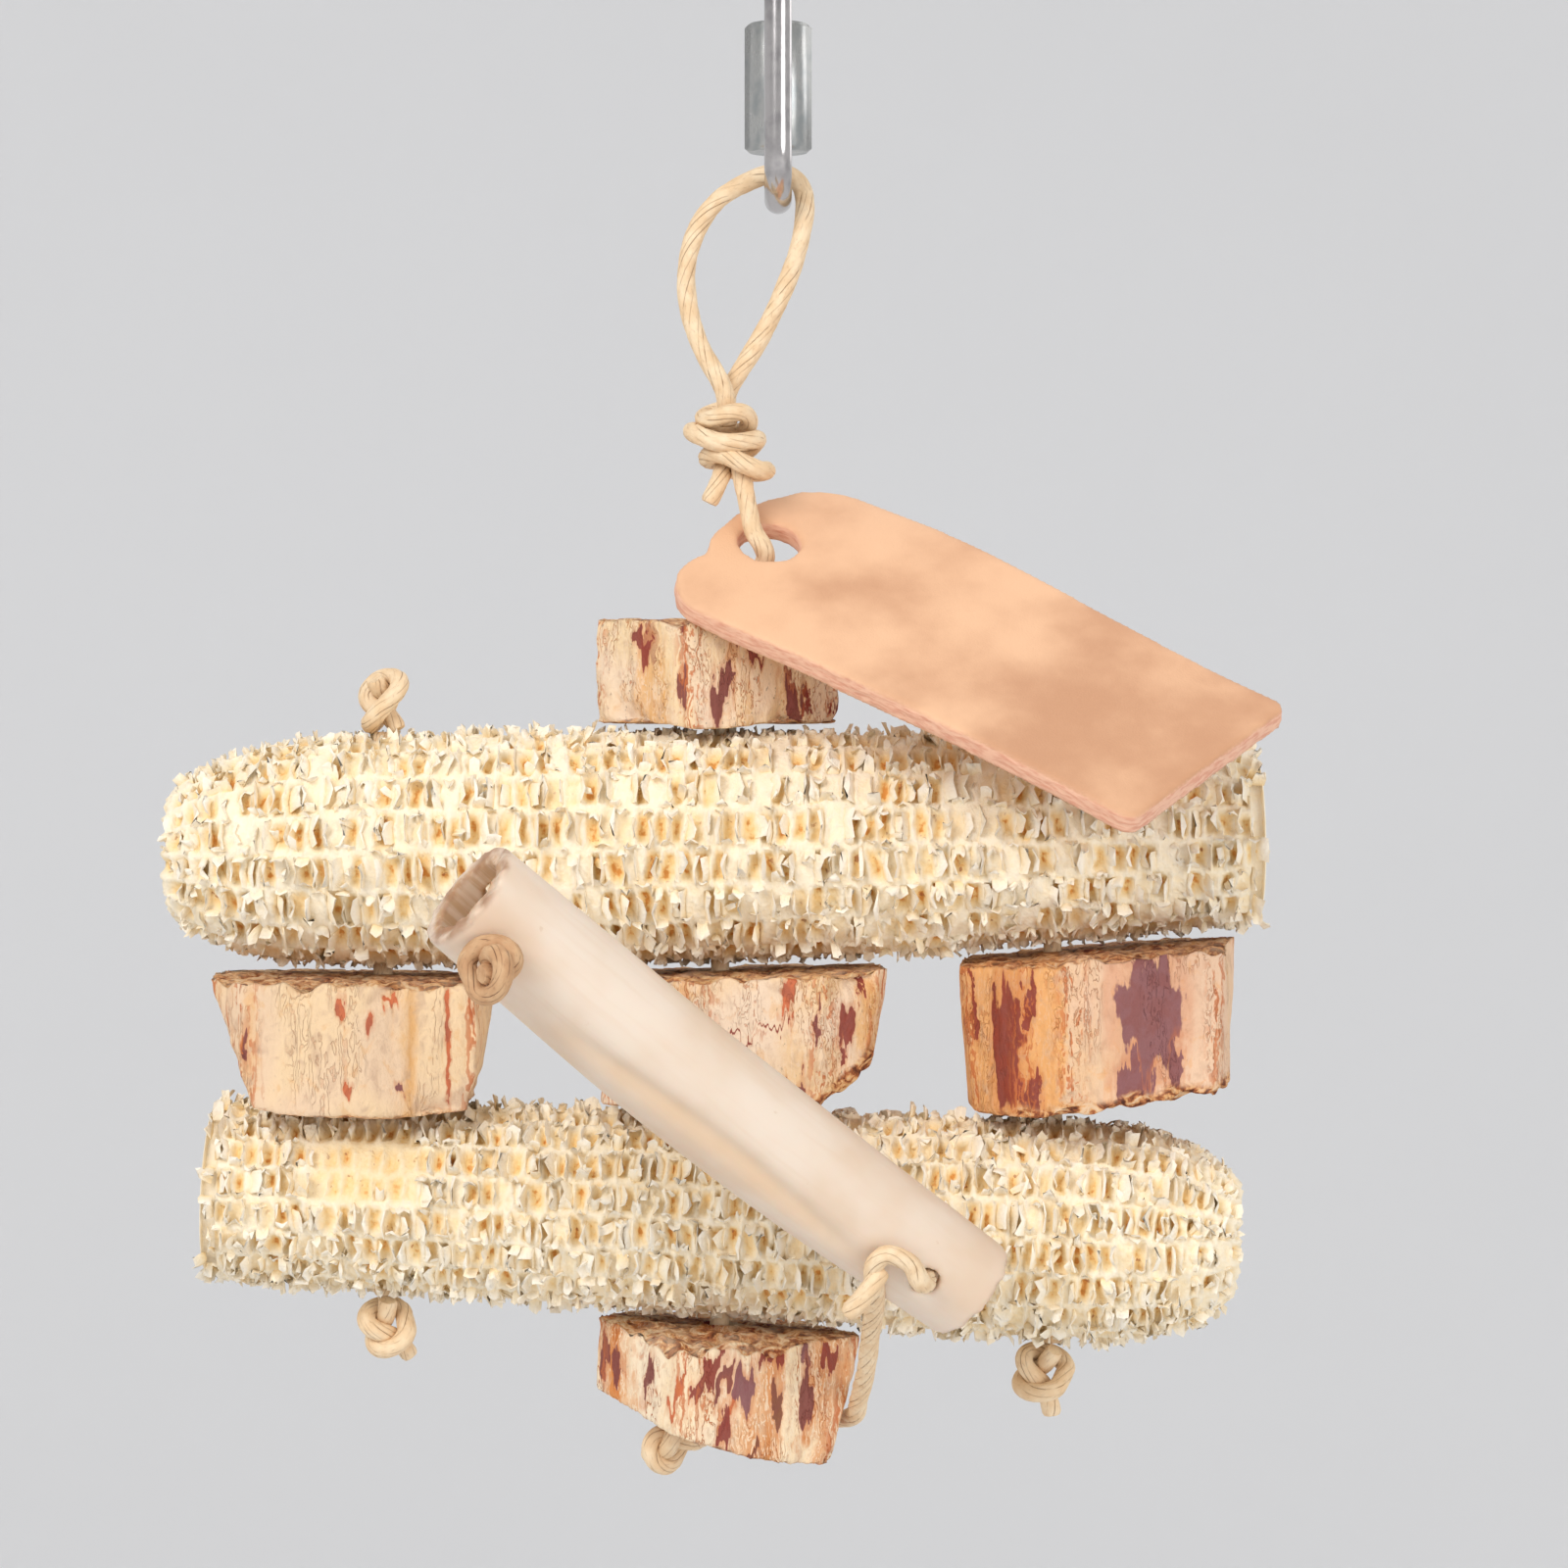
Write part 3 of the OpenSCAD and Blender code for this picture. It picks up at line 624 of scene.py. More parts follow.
@dataclass(frozen=True)
class DryStemFinish:
    """Dry hollow stem, ivory outside and tan inside, with a brown broken rim and painted shade along its
    crease.
    """

    skin: Colour = srgb(235, 217, 198)
    warm: Colour = srgb(226, 199, 172)
    inside: Colour = srgb(206, 168, 130)
    rim: Colour = srgb(160, 116, 84)
    fold: Colour = srgb(222, 188, 150)

    def material(self) -> bpy.types.Material:
        """Builds the stem's material.

        Returns:
            The material.
        """
        s = Shader("dry_stem")
        fibre = s.grain(s.own("local", (0.9, 0.9, 0.06)), 4.0)
        cloud = s.grain(s.own("local", (0.09, 0.09, 0.06)), 3.0)
        speck = s.grain(s.own("local", (0.6, 0.6, 0.5)), 4.0)
        colour = s.mix(cloud.step(0.36, 0.7), self.skin, self.warm)
        colour = s.mix(fibre.step(0.5, 0.78) * 0.35, colour, self.warm)
        colour = s.mix(speck.step(0.7, 0.76) * 0.3, colour, self.inside)
        inner = s.value("inner")
        colour = s.mix(inner, colour, s.mix(fibre.step(0.4, 0.6), self.inside, self.warm))
        # Painted shade: the crease groove is darkened, in a band shifted to one side of it.
        colour = s.mix(s.value("crease") * (0.45 + 0.8 * (cloud - 0.3)), colour, self.fold)
        stain = s.value("stain") * s.grain(s.own("local", (0.3, 0.3, 0.4)), 3.0).step(0.3, 0.62)
        colour = s.mix(stain, colour, self.rim)
        normal = s.bump(fibre * 0.6 + speck * 0.2, 0.1, 0.6)
        return s.finish(
            Base_Color=colour,
            Roughness=0.58 + 0.3 * inner,
            Normal=normal,
            Subsurface_Weight=0.1,
            Subsurface_Scale=0.002,
        )


@dataclass(frozen=True)
class MetalFinish:
    """Bare or plated steel with fine handling marks."""

    name: str
    metal: Colour
    worn: Colour
    roughness: float

    def material(self) -> bpy.types.Material:
        """Builds the metal's material.

        Returns:
            The material.
        """
        s = Shader(self.name)
        cloud = s.grain(s.place((0.3, 0.3, 0.3)), 4.0)
        marks = s.grain(s.place((5, 5, 0.5)), 3.0)
        colour = s.mix(cloud.step(0.42, 0.7), self.metal, self.worn)
        rough = self.roughness + 0.14 * (cloud - 0.4) + 0.1 * (marks - 0.5)
        return s.finish(Base_Color=colour, Metallic=1.0, Roughness=rough, Normal=s.bump(marks, 0.012, 0.5))


PAPER = PaperCordFinish()


def piece_of(
    name: str, bm: bmesh.types.BMesh, finish: bpy.types.Material, crease: float | None = None
) -> bpy.types.Object:
    """Turns a mesh worked in millimetres into a smooth object in metres.

    Args:
        name: The piece's name.
        bm: Its mesh, which is freed.
        finish: Its material.
        crease: Edge angle in degrees that stays sharp, if any.

    Returns:
        The object, at the origin.
    """
    bmesh.ops.scale(bm, vec=(MM, MM, MM), verts=bm.verts)
    mesh = bpy.data.meshes.new(name)
    bm.to_mesh(mesh)
    bm.free()
    mesh.materials.append(finish)
    mesh.shade_smooth()
    if crease is not None:
        mesh.set_sharp_from_angle(angle=math.radians(crease))
    made = bpy.data.objects.new(name, mesh)
    bpy.context.scene.collection.objects.link(made)
    return made


def solid_copy(node: str) -> bmesh.types.BMesh:
    """Copies a solid's mesh, merged and in millimetres.

    Args:
        node: The solid's name.

    Returns:
        Its mesh.
    """
    bm = bmesh.new()
    bm.from_mesh(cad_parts[node].data)
    bmesh.ops.remove_doubles(bm, verts=bm.verts, dist=1e-6)
    bmesh.ops.scale(bm, vec=(1 / MM, 1 / MM, 1 / MM), verts=bm.verts)
    return bm


def remeshed(bm: bmesh.types.BMesh, voxel: float, rounds: int) -> bmesh.types.BMesh:
    """Gives a closed mesh even faces.

    Args:
        bm: The mesh, which is freed.
        voxel: Size of the faces in millimetres.
        rounds: How often the result is smoothed, which rounds its edges.

    Returns:
        The new mesh.
    """
    mesh = bpy.data.meshes.new("rough")
    bm.to_mesh(mesh)
    bm.free()
    rough = bpy.data.objects.new("rough", mesh)
    bpy.context.scene.collection.objects.link(rough)
    work = rough.modifiers.new("even", "REMESH")
    work.mode = "VOXEL"
    work.voxel_size = voxel
    bpy.context.view_layer.update()
    even = rough.evaluated_get(bpy.context.evaluated_depsgraph_get())
    fresh = bmesh.new()
    fresh.from_mesh(even.to_mesh())
    even.to_mesh_clear()
    bpy.data.objects.remove(rough)
    bpy.data.meshes.remove(mesh)
    for _ in range(rounds):
        bmesh.ops.smooth_vert(
            fresh, verts=fresh.verts, factor=0.5, use_axis_x=True, use_axis_y=True, use_axis_z=True
        )
    fresh.normal_update()
    return fresh


def in_order(bm: bmesh.types.BMesh, first: int = 0) -> None:
    """Makes faces again in the order of their points, because some operators leave it open.

    Args:
        bm: The mesh.
        first: Number of the first face that is made again.
    """
    bm.verts.index_update()
    bm.verts.ensure_lookup_table()
    bm.faces.ensure_lookup_table()
    faces = bm.faces[first:]
    rounds = []
    for face in faces:
        numbers = [v.index for v in face.verts]
        start = numbers.index(min(numbers))
        rounds.append(numbers[start:] + numbers[:start])
    bmesh.ops.delete(bm, geom=faces, context="FACES_ONLY")
    for numbers in sorted(rounds):
        bm.faces.new([bm.verts[i] for i in numbers])


def spun(profile: Sequence[Point], axis: Point, sides: int, merge: float) -> bmesh.types.BMesh:
    """Spins a profile into a round mesh.

    Args:
        profile: Points of the profile.
        axis: Direction of the axis, which goes through the origin.
        sides: How many sides the result has.
        merge: Distance within which points are joined.

    Returns:
        The mesh.
    """
    bm = bmesh.new()
    verts = [bm.verts.new(point) for point in profile]
    edges = [bm.edges.new(pair) for pair in zip(verts, verts[1:])]
    bmesh.ops.spin(
        bm, geom=verts + edges, cent=(0, 0, 0), axis=axis, angle=2 * math.pi, steps=sides, use_merge=True
    )
    bmesh.ops.remove_doubles(bm, verts=bm.verts, dist=merge)
    bmesh.ops.recalc_face_normals(bm, faces=bm.faces)
    ranked = sorted(bm.verts, key=lambda vert: tuple(round(c, 3) for c in vert.co))
    for number, vert in enumerate(ranked):
        vert.index = number
    bm.verts.sort()
    in_order(bm)
    return bm


def from_line(point: Vector, line: tuple[Point | Vector, Point | Vector]) -> Vector:
    """Gives the way to a point from the nearest place on a line through two points."""
    return point - geometry.intersect_point_line(point, Vector(line[0]), Vector(line[1]))[0]


def distances(line: np.ndarray) -> np.ndarray:
    """Gives each point's distance along a line."""
    return np.concatenate([[0], np.cumsum(np.linalg.norm(np.diff(line, axis=0), axis=1))])


def length_of(line: np.ndarray) -> float:
    """Gives the length of a line."""
    return float(np.linalg.norm(np.diff(line, axis=0), axis=1).sum())


def spaced(line: np.ndarray, count: int) -> np.ndarray:
    """Gives a number of points at an even distance along a line."""
    far = distances(line)
    places = np.linspace(0, far[-1], count)
    return np.stack([np.interp(places, far, line[:, axis]) for axis in range(3)], axis=1)


def smooth_route(points: Sequence[Point] | np.ndarray, step: float) -> np.ndarray:
    """Runs a smooth line through points.

    Args:
        points: Points of the route in millimetres.
        step: Distance between the points of the result.

    Returns:
        Points at an even distance along the line.
    """
    p = np.array(points, float)
    fine = []
    for i in range(len(p) - 1):
        a, b, c, d = p[max(i - 1, 0)], p[i], p[i + 1], p[min(i + 2, len(p) - 1)]
        square = 2 * a - 5 * b + 4 * c - d
        cube = 3 * b - a - 3 * c + d
        for t in np.linspace(0, 1, ROUTE_PARTS, endpoint=False):
            fine.append(0.5 * (2 * b + (c - a) * t + square * t**2 + cube * t**3))
    fine.append(p[-1])
    line = np.array(fine)
    return spaced(line, max(3, round(distances(line)[-1] / step) + 1))


@dataclass(frozen=True)
class Bend:
    """The two places, in millimetres, between which a cord passes from one body to another."""

    first: str
    second: str
    start: Point
    end: Point


def stand_for(made: bpy.types.Object, slot: str, body: str | Bend, *nodes: str) -> None:
    """Lets a piece stand for its solids, joins it to what it moves with and reports it.

    Args:
        made: The piece.
        slot: Name of its material's slot; not used.
        body: The body it rides on, or the bend that joins two.
        nodes: The solids it stands for.
    """
    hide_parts(*nodes)
    if isinstance(body, Bend):
        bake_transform(made)
    else:
        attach(made, body)
    LOG.info("%s: %d faces", made.name, len(made.data.polygons))


@dataclass
class TwistedCord:
    """A run of twisted paper cord along a route in millimetres."""

    name: str
    route: np.ndarray
    phase: float
    sides: int = 30
    diameter: float = CORD_D
    end_round: float = 0.25
    end_taper: float = 0.16
    oval: float = 0.035
    lump: float = 0.03
    fold_in: float = 0.12
    crease: float = 50.0

    def frames(self) -> tuple[np.ndarray, np.ndarray]:
        """Gives directions across the route, without added twist.

        Returns:
            One direction across, and the one square to it and to the route.
        """
        ahead = np.gradient(self.route, axis=0)
        ahead /= np.linalg.norm(ahead, axis=1)[:, None]
        across = np.zeros_like(ahead)
        start = np.array((0.0, 1.0, 0.0)) if abs(ahead[0][1]) < 0.8 else np.array((1.0, 0.0, 0.0))
        for i, t in enumerate(ahead):
            start = start - t * (start @ t)
            start /= np.linalg.norm(start)
            across[i] = start
        return across, np.cross(ahead, across)

    def radius_at(self, far: float, from_end: float, helix: float) -> float:
        """Gives the cord's radius.

        Args:
            far: Distance along the route.
            from_end: Distance from the nearer end.
            helix: Place among the folds, in turns.

        Returns:
            The radius in millimetres.
        """
        shrink = 1 - self.end_taper * (1 - min(1.0, from_end / self.end_round))
        flat = 1 + self.oval * math.cos(4 * math.pi * helix)
        lump = self.lump * noise.noise(Vector((far * 0.35, helix * 3, self.phase * 20)))
        return self.diameter / 2 * shrink * (flat + lump - self.fold_in * PAPER.fold_depth(helix))

    def build(self) -> bmesh.types.BMesh:
        """Bends a grid into the twisted cord.

        Returns:
            The cord's mesh in millimetres.
        """
        bm = bmesh.new()
        layer = bm.loops.layers.uv.new("cord")
        bmesh.ops.create_grid(bm, x_segments=self.sides, y_segments=len(self.route) - 1, size=1.0)
        bm.verts.ensure_lookup_table()
        across, square = self.frames()
        far = distances(self.route)
        wide = self.sides + 1
        for face in bm.faces:
            for loop in face.loops:
                row, column = divmod(loop.vert.index, wide)
                loop[layer].uv = (column / self.sides + self.phase, far[row])
        for vert in bm.verts:
            row, column = divmod(vert.index, wide)
            turn = (column % self.sides) / self.sides
            angle = 2 * math.pi * turn
            helix = (turn + self.phase - far[row] * PAPER.twist) % 1.0
            radius = self.radius_at(far[row], min(far[row], far[-1] - far[row]), helix)
            out = math.cos(angle) * across[row] + math.sin(angle) * square[row]
            vert.co = Vector(self.route[row] + radius * out)
        bmesh.ops.remove_doubles(bm, verts=bm.verts, dist=1e-4)
        open_edges = [e for e in bm.edges if e.is_boundary]
        bmesh.ops.holes_fill(bm, edges=open_edges, sides=0)
        bmesh.ops.recalc_face_normals(bm, faces=bm.faces)
        return bm

    def piece(self, finish: bpy.types.Material) -> bpy.types.Object:
        """Makes the cord's object."""
        return piece_of(self.name, self.build(), finish, self.crease)


@dataclass
class OverhandKnot:
    """An overhand knot that is drawn tight, its cord running up along Z."""

    thickness: float = 2.15
    count: int = 100
    pulls: int = 1300
    reach: float = 9.0
    half_span: float = 2.02
    loose_points: int = 80
    end_points: int = 20
    near: float = 1.45
    draw: float = 0.05
    settle: float = 0.5
    straighten: float = 0.25
    presses: int = 3

    def loose(self) -> np.ndarray:
        """Gives the loose knot along X, with straight ends.

        Returns:
            Points of the loose knot.
        """
        t = np.linspace(-self.half_span, self.half_span, self.loose_points)
        knot = np.stack([t**3 - 3 * t, (t**5 - 10 * t) * 0.16, t**4 - 4 * t**2], axis=1) * self.thickness
        steps = np.arange(1.0, self.end_points + 1)[:, None]
        span = steps * np.array([self.thickness * 0.45, 0, 0])
        return np.concatenate([knot[0] - span[::-1], knot, knot[-1] + span])

    def tight(self) -> np.ndarray:
        """Draws the cord straight wherever it doesn't press on itself.

        Returns:
            Points of the tight knot in millimetres, standing end first.
        """
        line = spaced(self.loose(), self.count)
        order = np.arange(self.count)
        apart = np.abs(np.subtract.outer(order, order))
        for _ in range(self.pulls):
            far = apart > math.ceil(self.near * self.thickness * (self.count - 1) / length_of(line))
            for end, near, goal in ((0, 1, -self.reach), (-1, -2, self.reach)):
                line[end][0] += (goal - line[end][0]) * self.draw
                line[end][1:] += (line[near][1:] - line[end][1:]) * self.settle
            line[1:-1] += self.straighten * ((line[:-2] + line[2:]) / 2 - line[1:-1])
            for _ in range(self.presses):
                between = line[:, None, :] - line[None, :, :]
                close = np.linalg.norm(between, axis=2) + np.eye(self.count)
                push = np.where(far & (close < self.thickness), (self.thickness - close) / close, 0.0)
                touching = np.maximum(1, (push > 0).sum(axis=1))[:, None]
                line += self.settle * (between * push[:, :, None]).sum(axis=1) / touching
            line = spaced(line, self.count)
        line -= np.array([0, *(line[0][1:] + line[-1][1:]) / 2])
        return np.stack([line[:, 1], line[:, 2], line[:, 0]], axis=1)


@dataclass(frozen=True)
class Lamp:
    """A soft round light, with its place and width in metres and its power in watts."""

    name: str
    place: Point
    width: float
    power: float


@dataclass
class Studio:
    """Camera, soft lights and a plain pale sweep, in metres apart from the eye's place."""

    eye: Point = (0.75, -600.0, -111.25)
    lens: float = 108.0
    sensor: float = 36.0
    aim: Point = (0.0, 0.0, -0.11)
    floor_z: float = -0.5
    sweep_r: float = 1.6
    curve_r: float = 0.5
    curve_steps: int = 10
    wall_top: float = 1.1
    sides: int = 64
    grey: Colour = srgb(215, 215, 216)
    light_grey: Colour = srgb(217, 217, 218)
    glow: float = 0.12
    ambient: float = 0.48
    lamps: tuple[Lamp, ...] = (
        Lamp("key_light", (-0.55, -0.95, 0.55), 0.7, 8.8),
        Lamp("fill_light", (0.8, -0.85, 0.0), 0.7, 3.5),
        Lamp("top_light", (0.0, 0.2, 0.9), 0.8, 1.5),
        Lamp("back_light", (0.9, 0.8, 0.3), 0.7, 1.5),
    )

    def camera(self) -> None:
        """Sets the level camera in front of the toy."""
        lens = bpy.data.cameras.new("front_camera")
        lens.lens = self.lens
        lens.sensor_width = self.sensor
        lens.clip_start = 0.01
        made = bpy.data.objects.new("front_camera", lens)
        made.location = metres(self.eye)
        made.rotation_euler = (math.pi / 2, 0, 0)
        bpy.context.scene.collection.objects.link(made)
        bpy.context.scene.camera = made

    def light(self, lamp: Lamp) -> None:
        """Adds one light that faces the toy.

        Args:
            lamp: The light's form and power.
        """
        light = bpy.data.lights.new(lamp.name, "AREA")
        light.shape = "DISK"
        light.size = lamp.width
        light.energy = lamp.power
        made = bpy.data.objects.new(lamp.name, light)
        made.location = lamp.place
        ahead = Vector(self.aim) - Vector(lamp.place)
        made.rotation_euler = ahead.to_track_quat("-Z", "Y").to_euler()
        bpy.context.scene.collection.objects.link(made)

    def sweep(self) -> None:
        """Spins a floor that curves up into a round wall."""
        flat_r = self.sweep_r - self.curve_r
        profile = [(0.0, 0.0, self.floor_z), (flat_r, 0.0, self.floor_z)]
        for step in range(1, self.curve_steps + 1):
            angle = math.pi / 2 * step / self.curve_steps
            rise = self.curve_r * (1 - math.cos(angle))
            profile.append((flat_r + self.curve_r * math.sin(angle), 0.0, self.floor_z + rise))
        profile.append((self.sweep_r, 0.0, self.wall_top))
        bm = spun(profile, (0, 0, 1), self.sides, 1e-5)
        bmesh.ops.scale(bm, vec=(1 / MM, 1 / MM, 1 / MM), verts=bm.verts)
        s = Shader("pale_sweep")
        cloud = s.grain(s.place((0.01, 0.01, 0.01)), 2.0)
        colour = s.mix(cloud, self.grey, self.light_grey)
        paint = s.finish(
            Base_Color=colour, Roughness=0.9, Emission_Color=WHITE, Emission_Strength=self.glow
        )
        piece_of("pale_sweep", bm, paint)

    def build(self) -> None:
        """Makes the camera, lights and sweep."""
        self.camera()
        self.sweep()
        for lamp in self.lamps:
            self.light(lamp)
        world = bpy.data.worlds.new("room")
        world.use_nodes = True
        sky = world.node_tree.nodes["Background"]
        sky.inputs["Color"].default_value = WHITE
        sky.inputs["Strength"].default_value = self.ambient
        bpy.context.scene.world = world
        bpy.context.scene.view_settings.view_transform = "Standard"


@dataclass
class StopperKnot:
    """A stopper knot at the end of a cord, with a short cut tail.

    Its base is where it sits, out is the way it points, wide and tall are shares of a tight knot, and a roll
    of fold_roll degrees moves the paper's folds by a whole turn.
    """

    name: str
    node: str
    base: Point
    out: Point
    roll: float
    tail: float
    lead: float = 2.5
    body: str = "stack"
    wide: float = 1.15
    tall: float = 0.85
    paper: PaperCordFinish = PAPER
    sides: int = 26
    step: float = 0.4
    fold_roll: float = 97.0

    def route(self, shape: np.ndarray) -> np.ndarray:
        """Puts the tight knot on its base.

        Args:
            shape: Points of a tight knot standing along Z.

        Returns:
            The knot's points in place, in millimetres.
        """
        step = length_of(shape) / (len(shape) - 1)
        coiled = np.where(np.gradient(shape[:, 2]) / step < 0.7)[0]
        first = max(0, coiled.min() - round(self.lead / step))
        last = min(len(shape), coiled.max() + round(self.tail / step))
        middle = shape[coiled, :2].mean(axis=0)
        foot = np.array([*middle, shape[coiled, 2].min() - CORD_D * 0.4])
        kept = (shape[first:last] - foot) * (self.wide, self.wide, self.tall)
        turn = Vector((0, 0, 1)).rotation_difference(Vector(self.out)).to_matrix()
        turn = turn @ Matrix.Rotation(math.radians(self.roll), 3, "Z")
        return smooth_route(kept @ np.array(turn).T + np.array(self.base), self.step)

    def build(self, shape: np.ndarray, finish: bpy.types.Material) -> None:
        """Makes the knot's object and lets it stand for its solid."""
        cord = TwistedCord(self.name, self.route(shape), self.roll / self.fold_roll, self.sides)
        stand_for(cord.piece(finish), "cord", self.body, self.node)


@dataclass(frozen=True)
class CordRun:
    """A run of cord through points listed in millimetres, its folds begun at a phase in turns."""

    name: str
    nodes: tuple[str, ...]
    body: str | Bend
    phase: float
    points: tuple[Point, ...]
    free: bool = False

    def build(self, finish: bpy.types.Material) -> None:
        """Makes the run's object.

        Args:
            finish: The paper.
        """
        route = smooth_route(self.points, CORD_STEP)
        made = TwistedCord(self.name, route, self.phase).piece(finish)
        stand_for(made, "cord", self.body, *self.nodes)


LOOP = CordRun(
    "loop_cord",
    ("hanging_loop",),
    Bend("loop", "knot", (-6.6, 0, -56), (-6.6, 0, -62.4)),
    phase=0.1,
    points=(
        (-6.2, -0.9, -65.5), (-6.5, -1.2, -63.4), (-6.8, -1.5, -61.6), (-7.4, -1.7, -60.0),
        (-8.9, -1.5, -57.4), (-10.4, -1.1, -54.2), (-11.5, -0.7, -49.95), (-11.6, -0.4, -44.95),
        (-10.2, -0.1, -40.25), (-7.4, 0, -36.55), (-3.6, 0, -34.35), (-1.2, 0, -33.45),
        (0.4, 0, -33.25), (1.9, 0, -33.85), (3.0, 0, -35.15), (3.4, 0, -36.95),
        (3.3, 0, -39.35), (2.3, 0.3, -43.95), (0.2, 0.7, -49.35), (-2.3, 1.1, -54.35),
        (-4.8, 1.5, -58.35), (-6.1, 1.7, -60.55), (-6.6, 1.4, -62.2), (-6.4, 1.1, -65.5),
    ),
    free=True,
)
LOOP_KNOT = CordRun(
    "loop_knot_wraps",
    ("loop_knot", "loop_knot_core"),
    "knot",
    phase=0.6,
    points=(
        (-6.4, 0.6, -63.2), (-8.4, 1.6, -63.8), (-9.5, 0.0, -64.6), (-8.3, -2.6, -64.9),
        (-6.2, -3.5, -64.2), (-4.5, -2.8, -64.1), (-3.7, -0.6, -64.9), (-4.4, 2.4, -66.0),
        (-7.0, 3.6, -66.5), (-9.6, 2.5, -66.3), (-10.9, 0.2, -66.2), (-10.2, -2.5, -66.9),
        (-7.7, -4.1, -67.9), (-4.9, -4.0, -67.9), (-3.0, -2.2, -67.5), (-2.7, 0.5, -67.4),
        (-4.0, 3.0, -68.5), (-7.0, 3.6, -69.5), (-9.0, 1.8, -69.7), (-8.4, -1.2, -69.3),
        (-6.5, -3.4, -69.6), (-4.3, -4.0, -70.7), (-2.4, -3.2, -71.4), (-1.5, -1.0, -71.3),
        (-2.6, 1.5, -71.4), (-5.0, 2.1, -71.2), (-6.8, 0.8, -71.0), (-7.3, -0.9, -72.2),
        (-8.1, -1.4, -74.0), (-8.8, -1.5, -75.5),
    ),
)
NECK = CordRun(
    "neck_run",
    ("neck_cord",),
    Bend("knot", "stack", (-4.6, -1.4, -71.4), (-3.9, -1.4, -76)),
    phase=0.35,
    points=(
        (-5.2, -0.6, -69.5), (-4.7, -1.2, -71.6), (-4.2, -1.8, -74.0), (-3.7, -2.5, -76.6),
        (-3.1, -2.9, -79.2), (-2.0, -3.0, -81.0), (-1.6, -2.4, -82.6), (-2.6, -1.4, -84.2),
        (-4.6, -0.6, -85.6), (-6.6, -0.1, -87.0), (MAIN_X, 0.0, -88.9), (MAIN_X, 0.0, -91.5),
    ),
)
MAIN = CordRun(
    "main_run",
    ("main_cord", "bottom_cord"),
    "stack",
    phase=0.8,
    points=(
        (MAIN_X, 0, -91), (MAIN_X, 0, -100), (MAIN_X, 0, -135), (MAIN_X, 0, -170), (MAIN_X, 0, -178.6),
        (-7.8, 0, -181.2), (-9.2, 0, -185), (-12.1, 0, -192.5), (-12.9, 0, -194.7),
    ),
)
UPPER_TIE = CordRun(
    "stick_upper_tie",
    ("stick_upper_cord", "stick_cob_cord"),
    Bend("stack", "stick", (-28.5, -15.5, -125.4), (-31.6, -44, -122)),
    phase=0.2,
    points=(
        (-33.1, -61.5, -131.4), (-33.0, -60.2, -130.5), (-32.6, -54.4, -126.4), (-32.1, -46.3, -120.8),
        (-30.7, -37, -123.95), (-29.3, -26, -126.05), (-28.5, -19.06, -125.45), (-28.5, -14.36, -125.45),
        (-28.5, -11.0, -125.45),
    ),
    free=True,
)
HITCH = CordRun(
    "stick_hitch",
    ("stick_lower_cord",),
    "stick",
    phase=0.45,
    points=(
        (17.3, -28.1, -167.5), (17.9, -34.2, -170.6), (17.2, -37.6, -170.9), (15.7, -39.0, -168.4),
        (13.1, -39.8, -167.3), (11.6, -39.2, -168.5), (11.5, -37.5, -170.3), (11.55, -36.6, -170.75),
    ),
)
HITCH_TAIL = CordRun(
    "stick_hitch_tail",
    ("stick_lower_cord",),
    "stick",
    phase=0.45,
    points=((12.4, -38.4, -169.4), (11.0, -39.3, -171.4), (9.6, -39.0, -173.2), (8.4, -38.2, -174.4)),
)
LOWER_TIE = CordRun(
    "stick_lower_tie",
    ("stick_lower_cord",),
    Bend("stack", "stick", (4, 8, -194), (11.6, -32, -173)),
    phase=0.7,
    points=(
        (11.5, -37.5, -170.3), (11.8, -30, -173.92), (11.4, -21, -178.92), (11.0, -12, -184.52),
        (10.2, -3.5, -189.32), (9.9, 1, -191.64), (8.4, 6.5, -193.04), (4.8, 11.8, -193.64),
        (0, 13.9, -193.34), (-5.4, 15.2, -193.64), (-8.77, 13.2, -195.76), (-10.97, 9, -196.36),
        (-12.17, 4.9, -195.56),
    ),
    free=True,
)
LEFT_RUN = CordRun(
    "left_run",
    ("left_cord",),
    "stack",
    phase=-1.008,
    points=((LEFT_X, 0, -176.4), (LEFT_X, 0, -140.5), (LEFT_X, 0, -104.6)),
)
RIGHT_RUN = CordRun(
    "right_run",
    ("right_cord",),
    "stack",
    phase=0.7,
    points=((RIGHT_X, 0, -182.5), (RIGHT_X, 0, -143.65), (RIGHT_X, 0, -104.8)),
)
CORDS = (LOOP, LOOP_KNOT, NECK, MAIN, UPPER_TIE, HITCH, HITCH_TAIL, LOWER_TIE, LEFT_RUN, RIGHT_RUN)
BROWN_PAPER = PaperCordFinish(
    "brown_paper_cord", srgb(196, 150, 108), srgb(212, 172, 130), srgb(104, 62, 36)
)
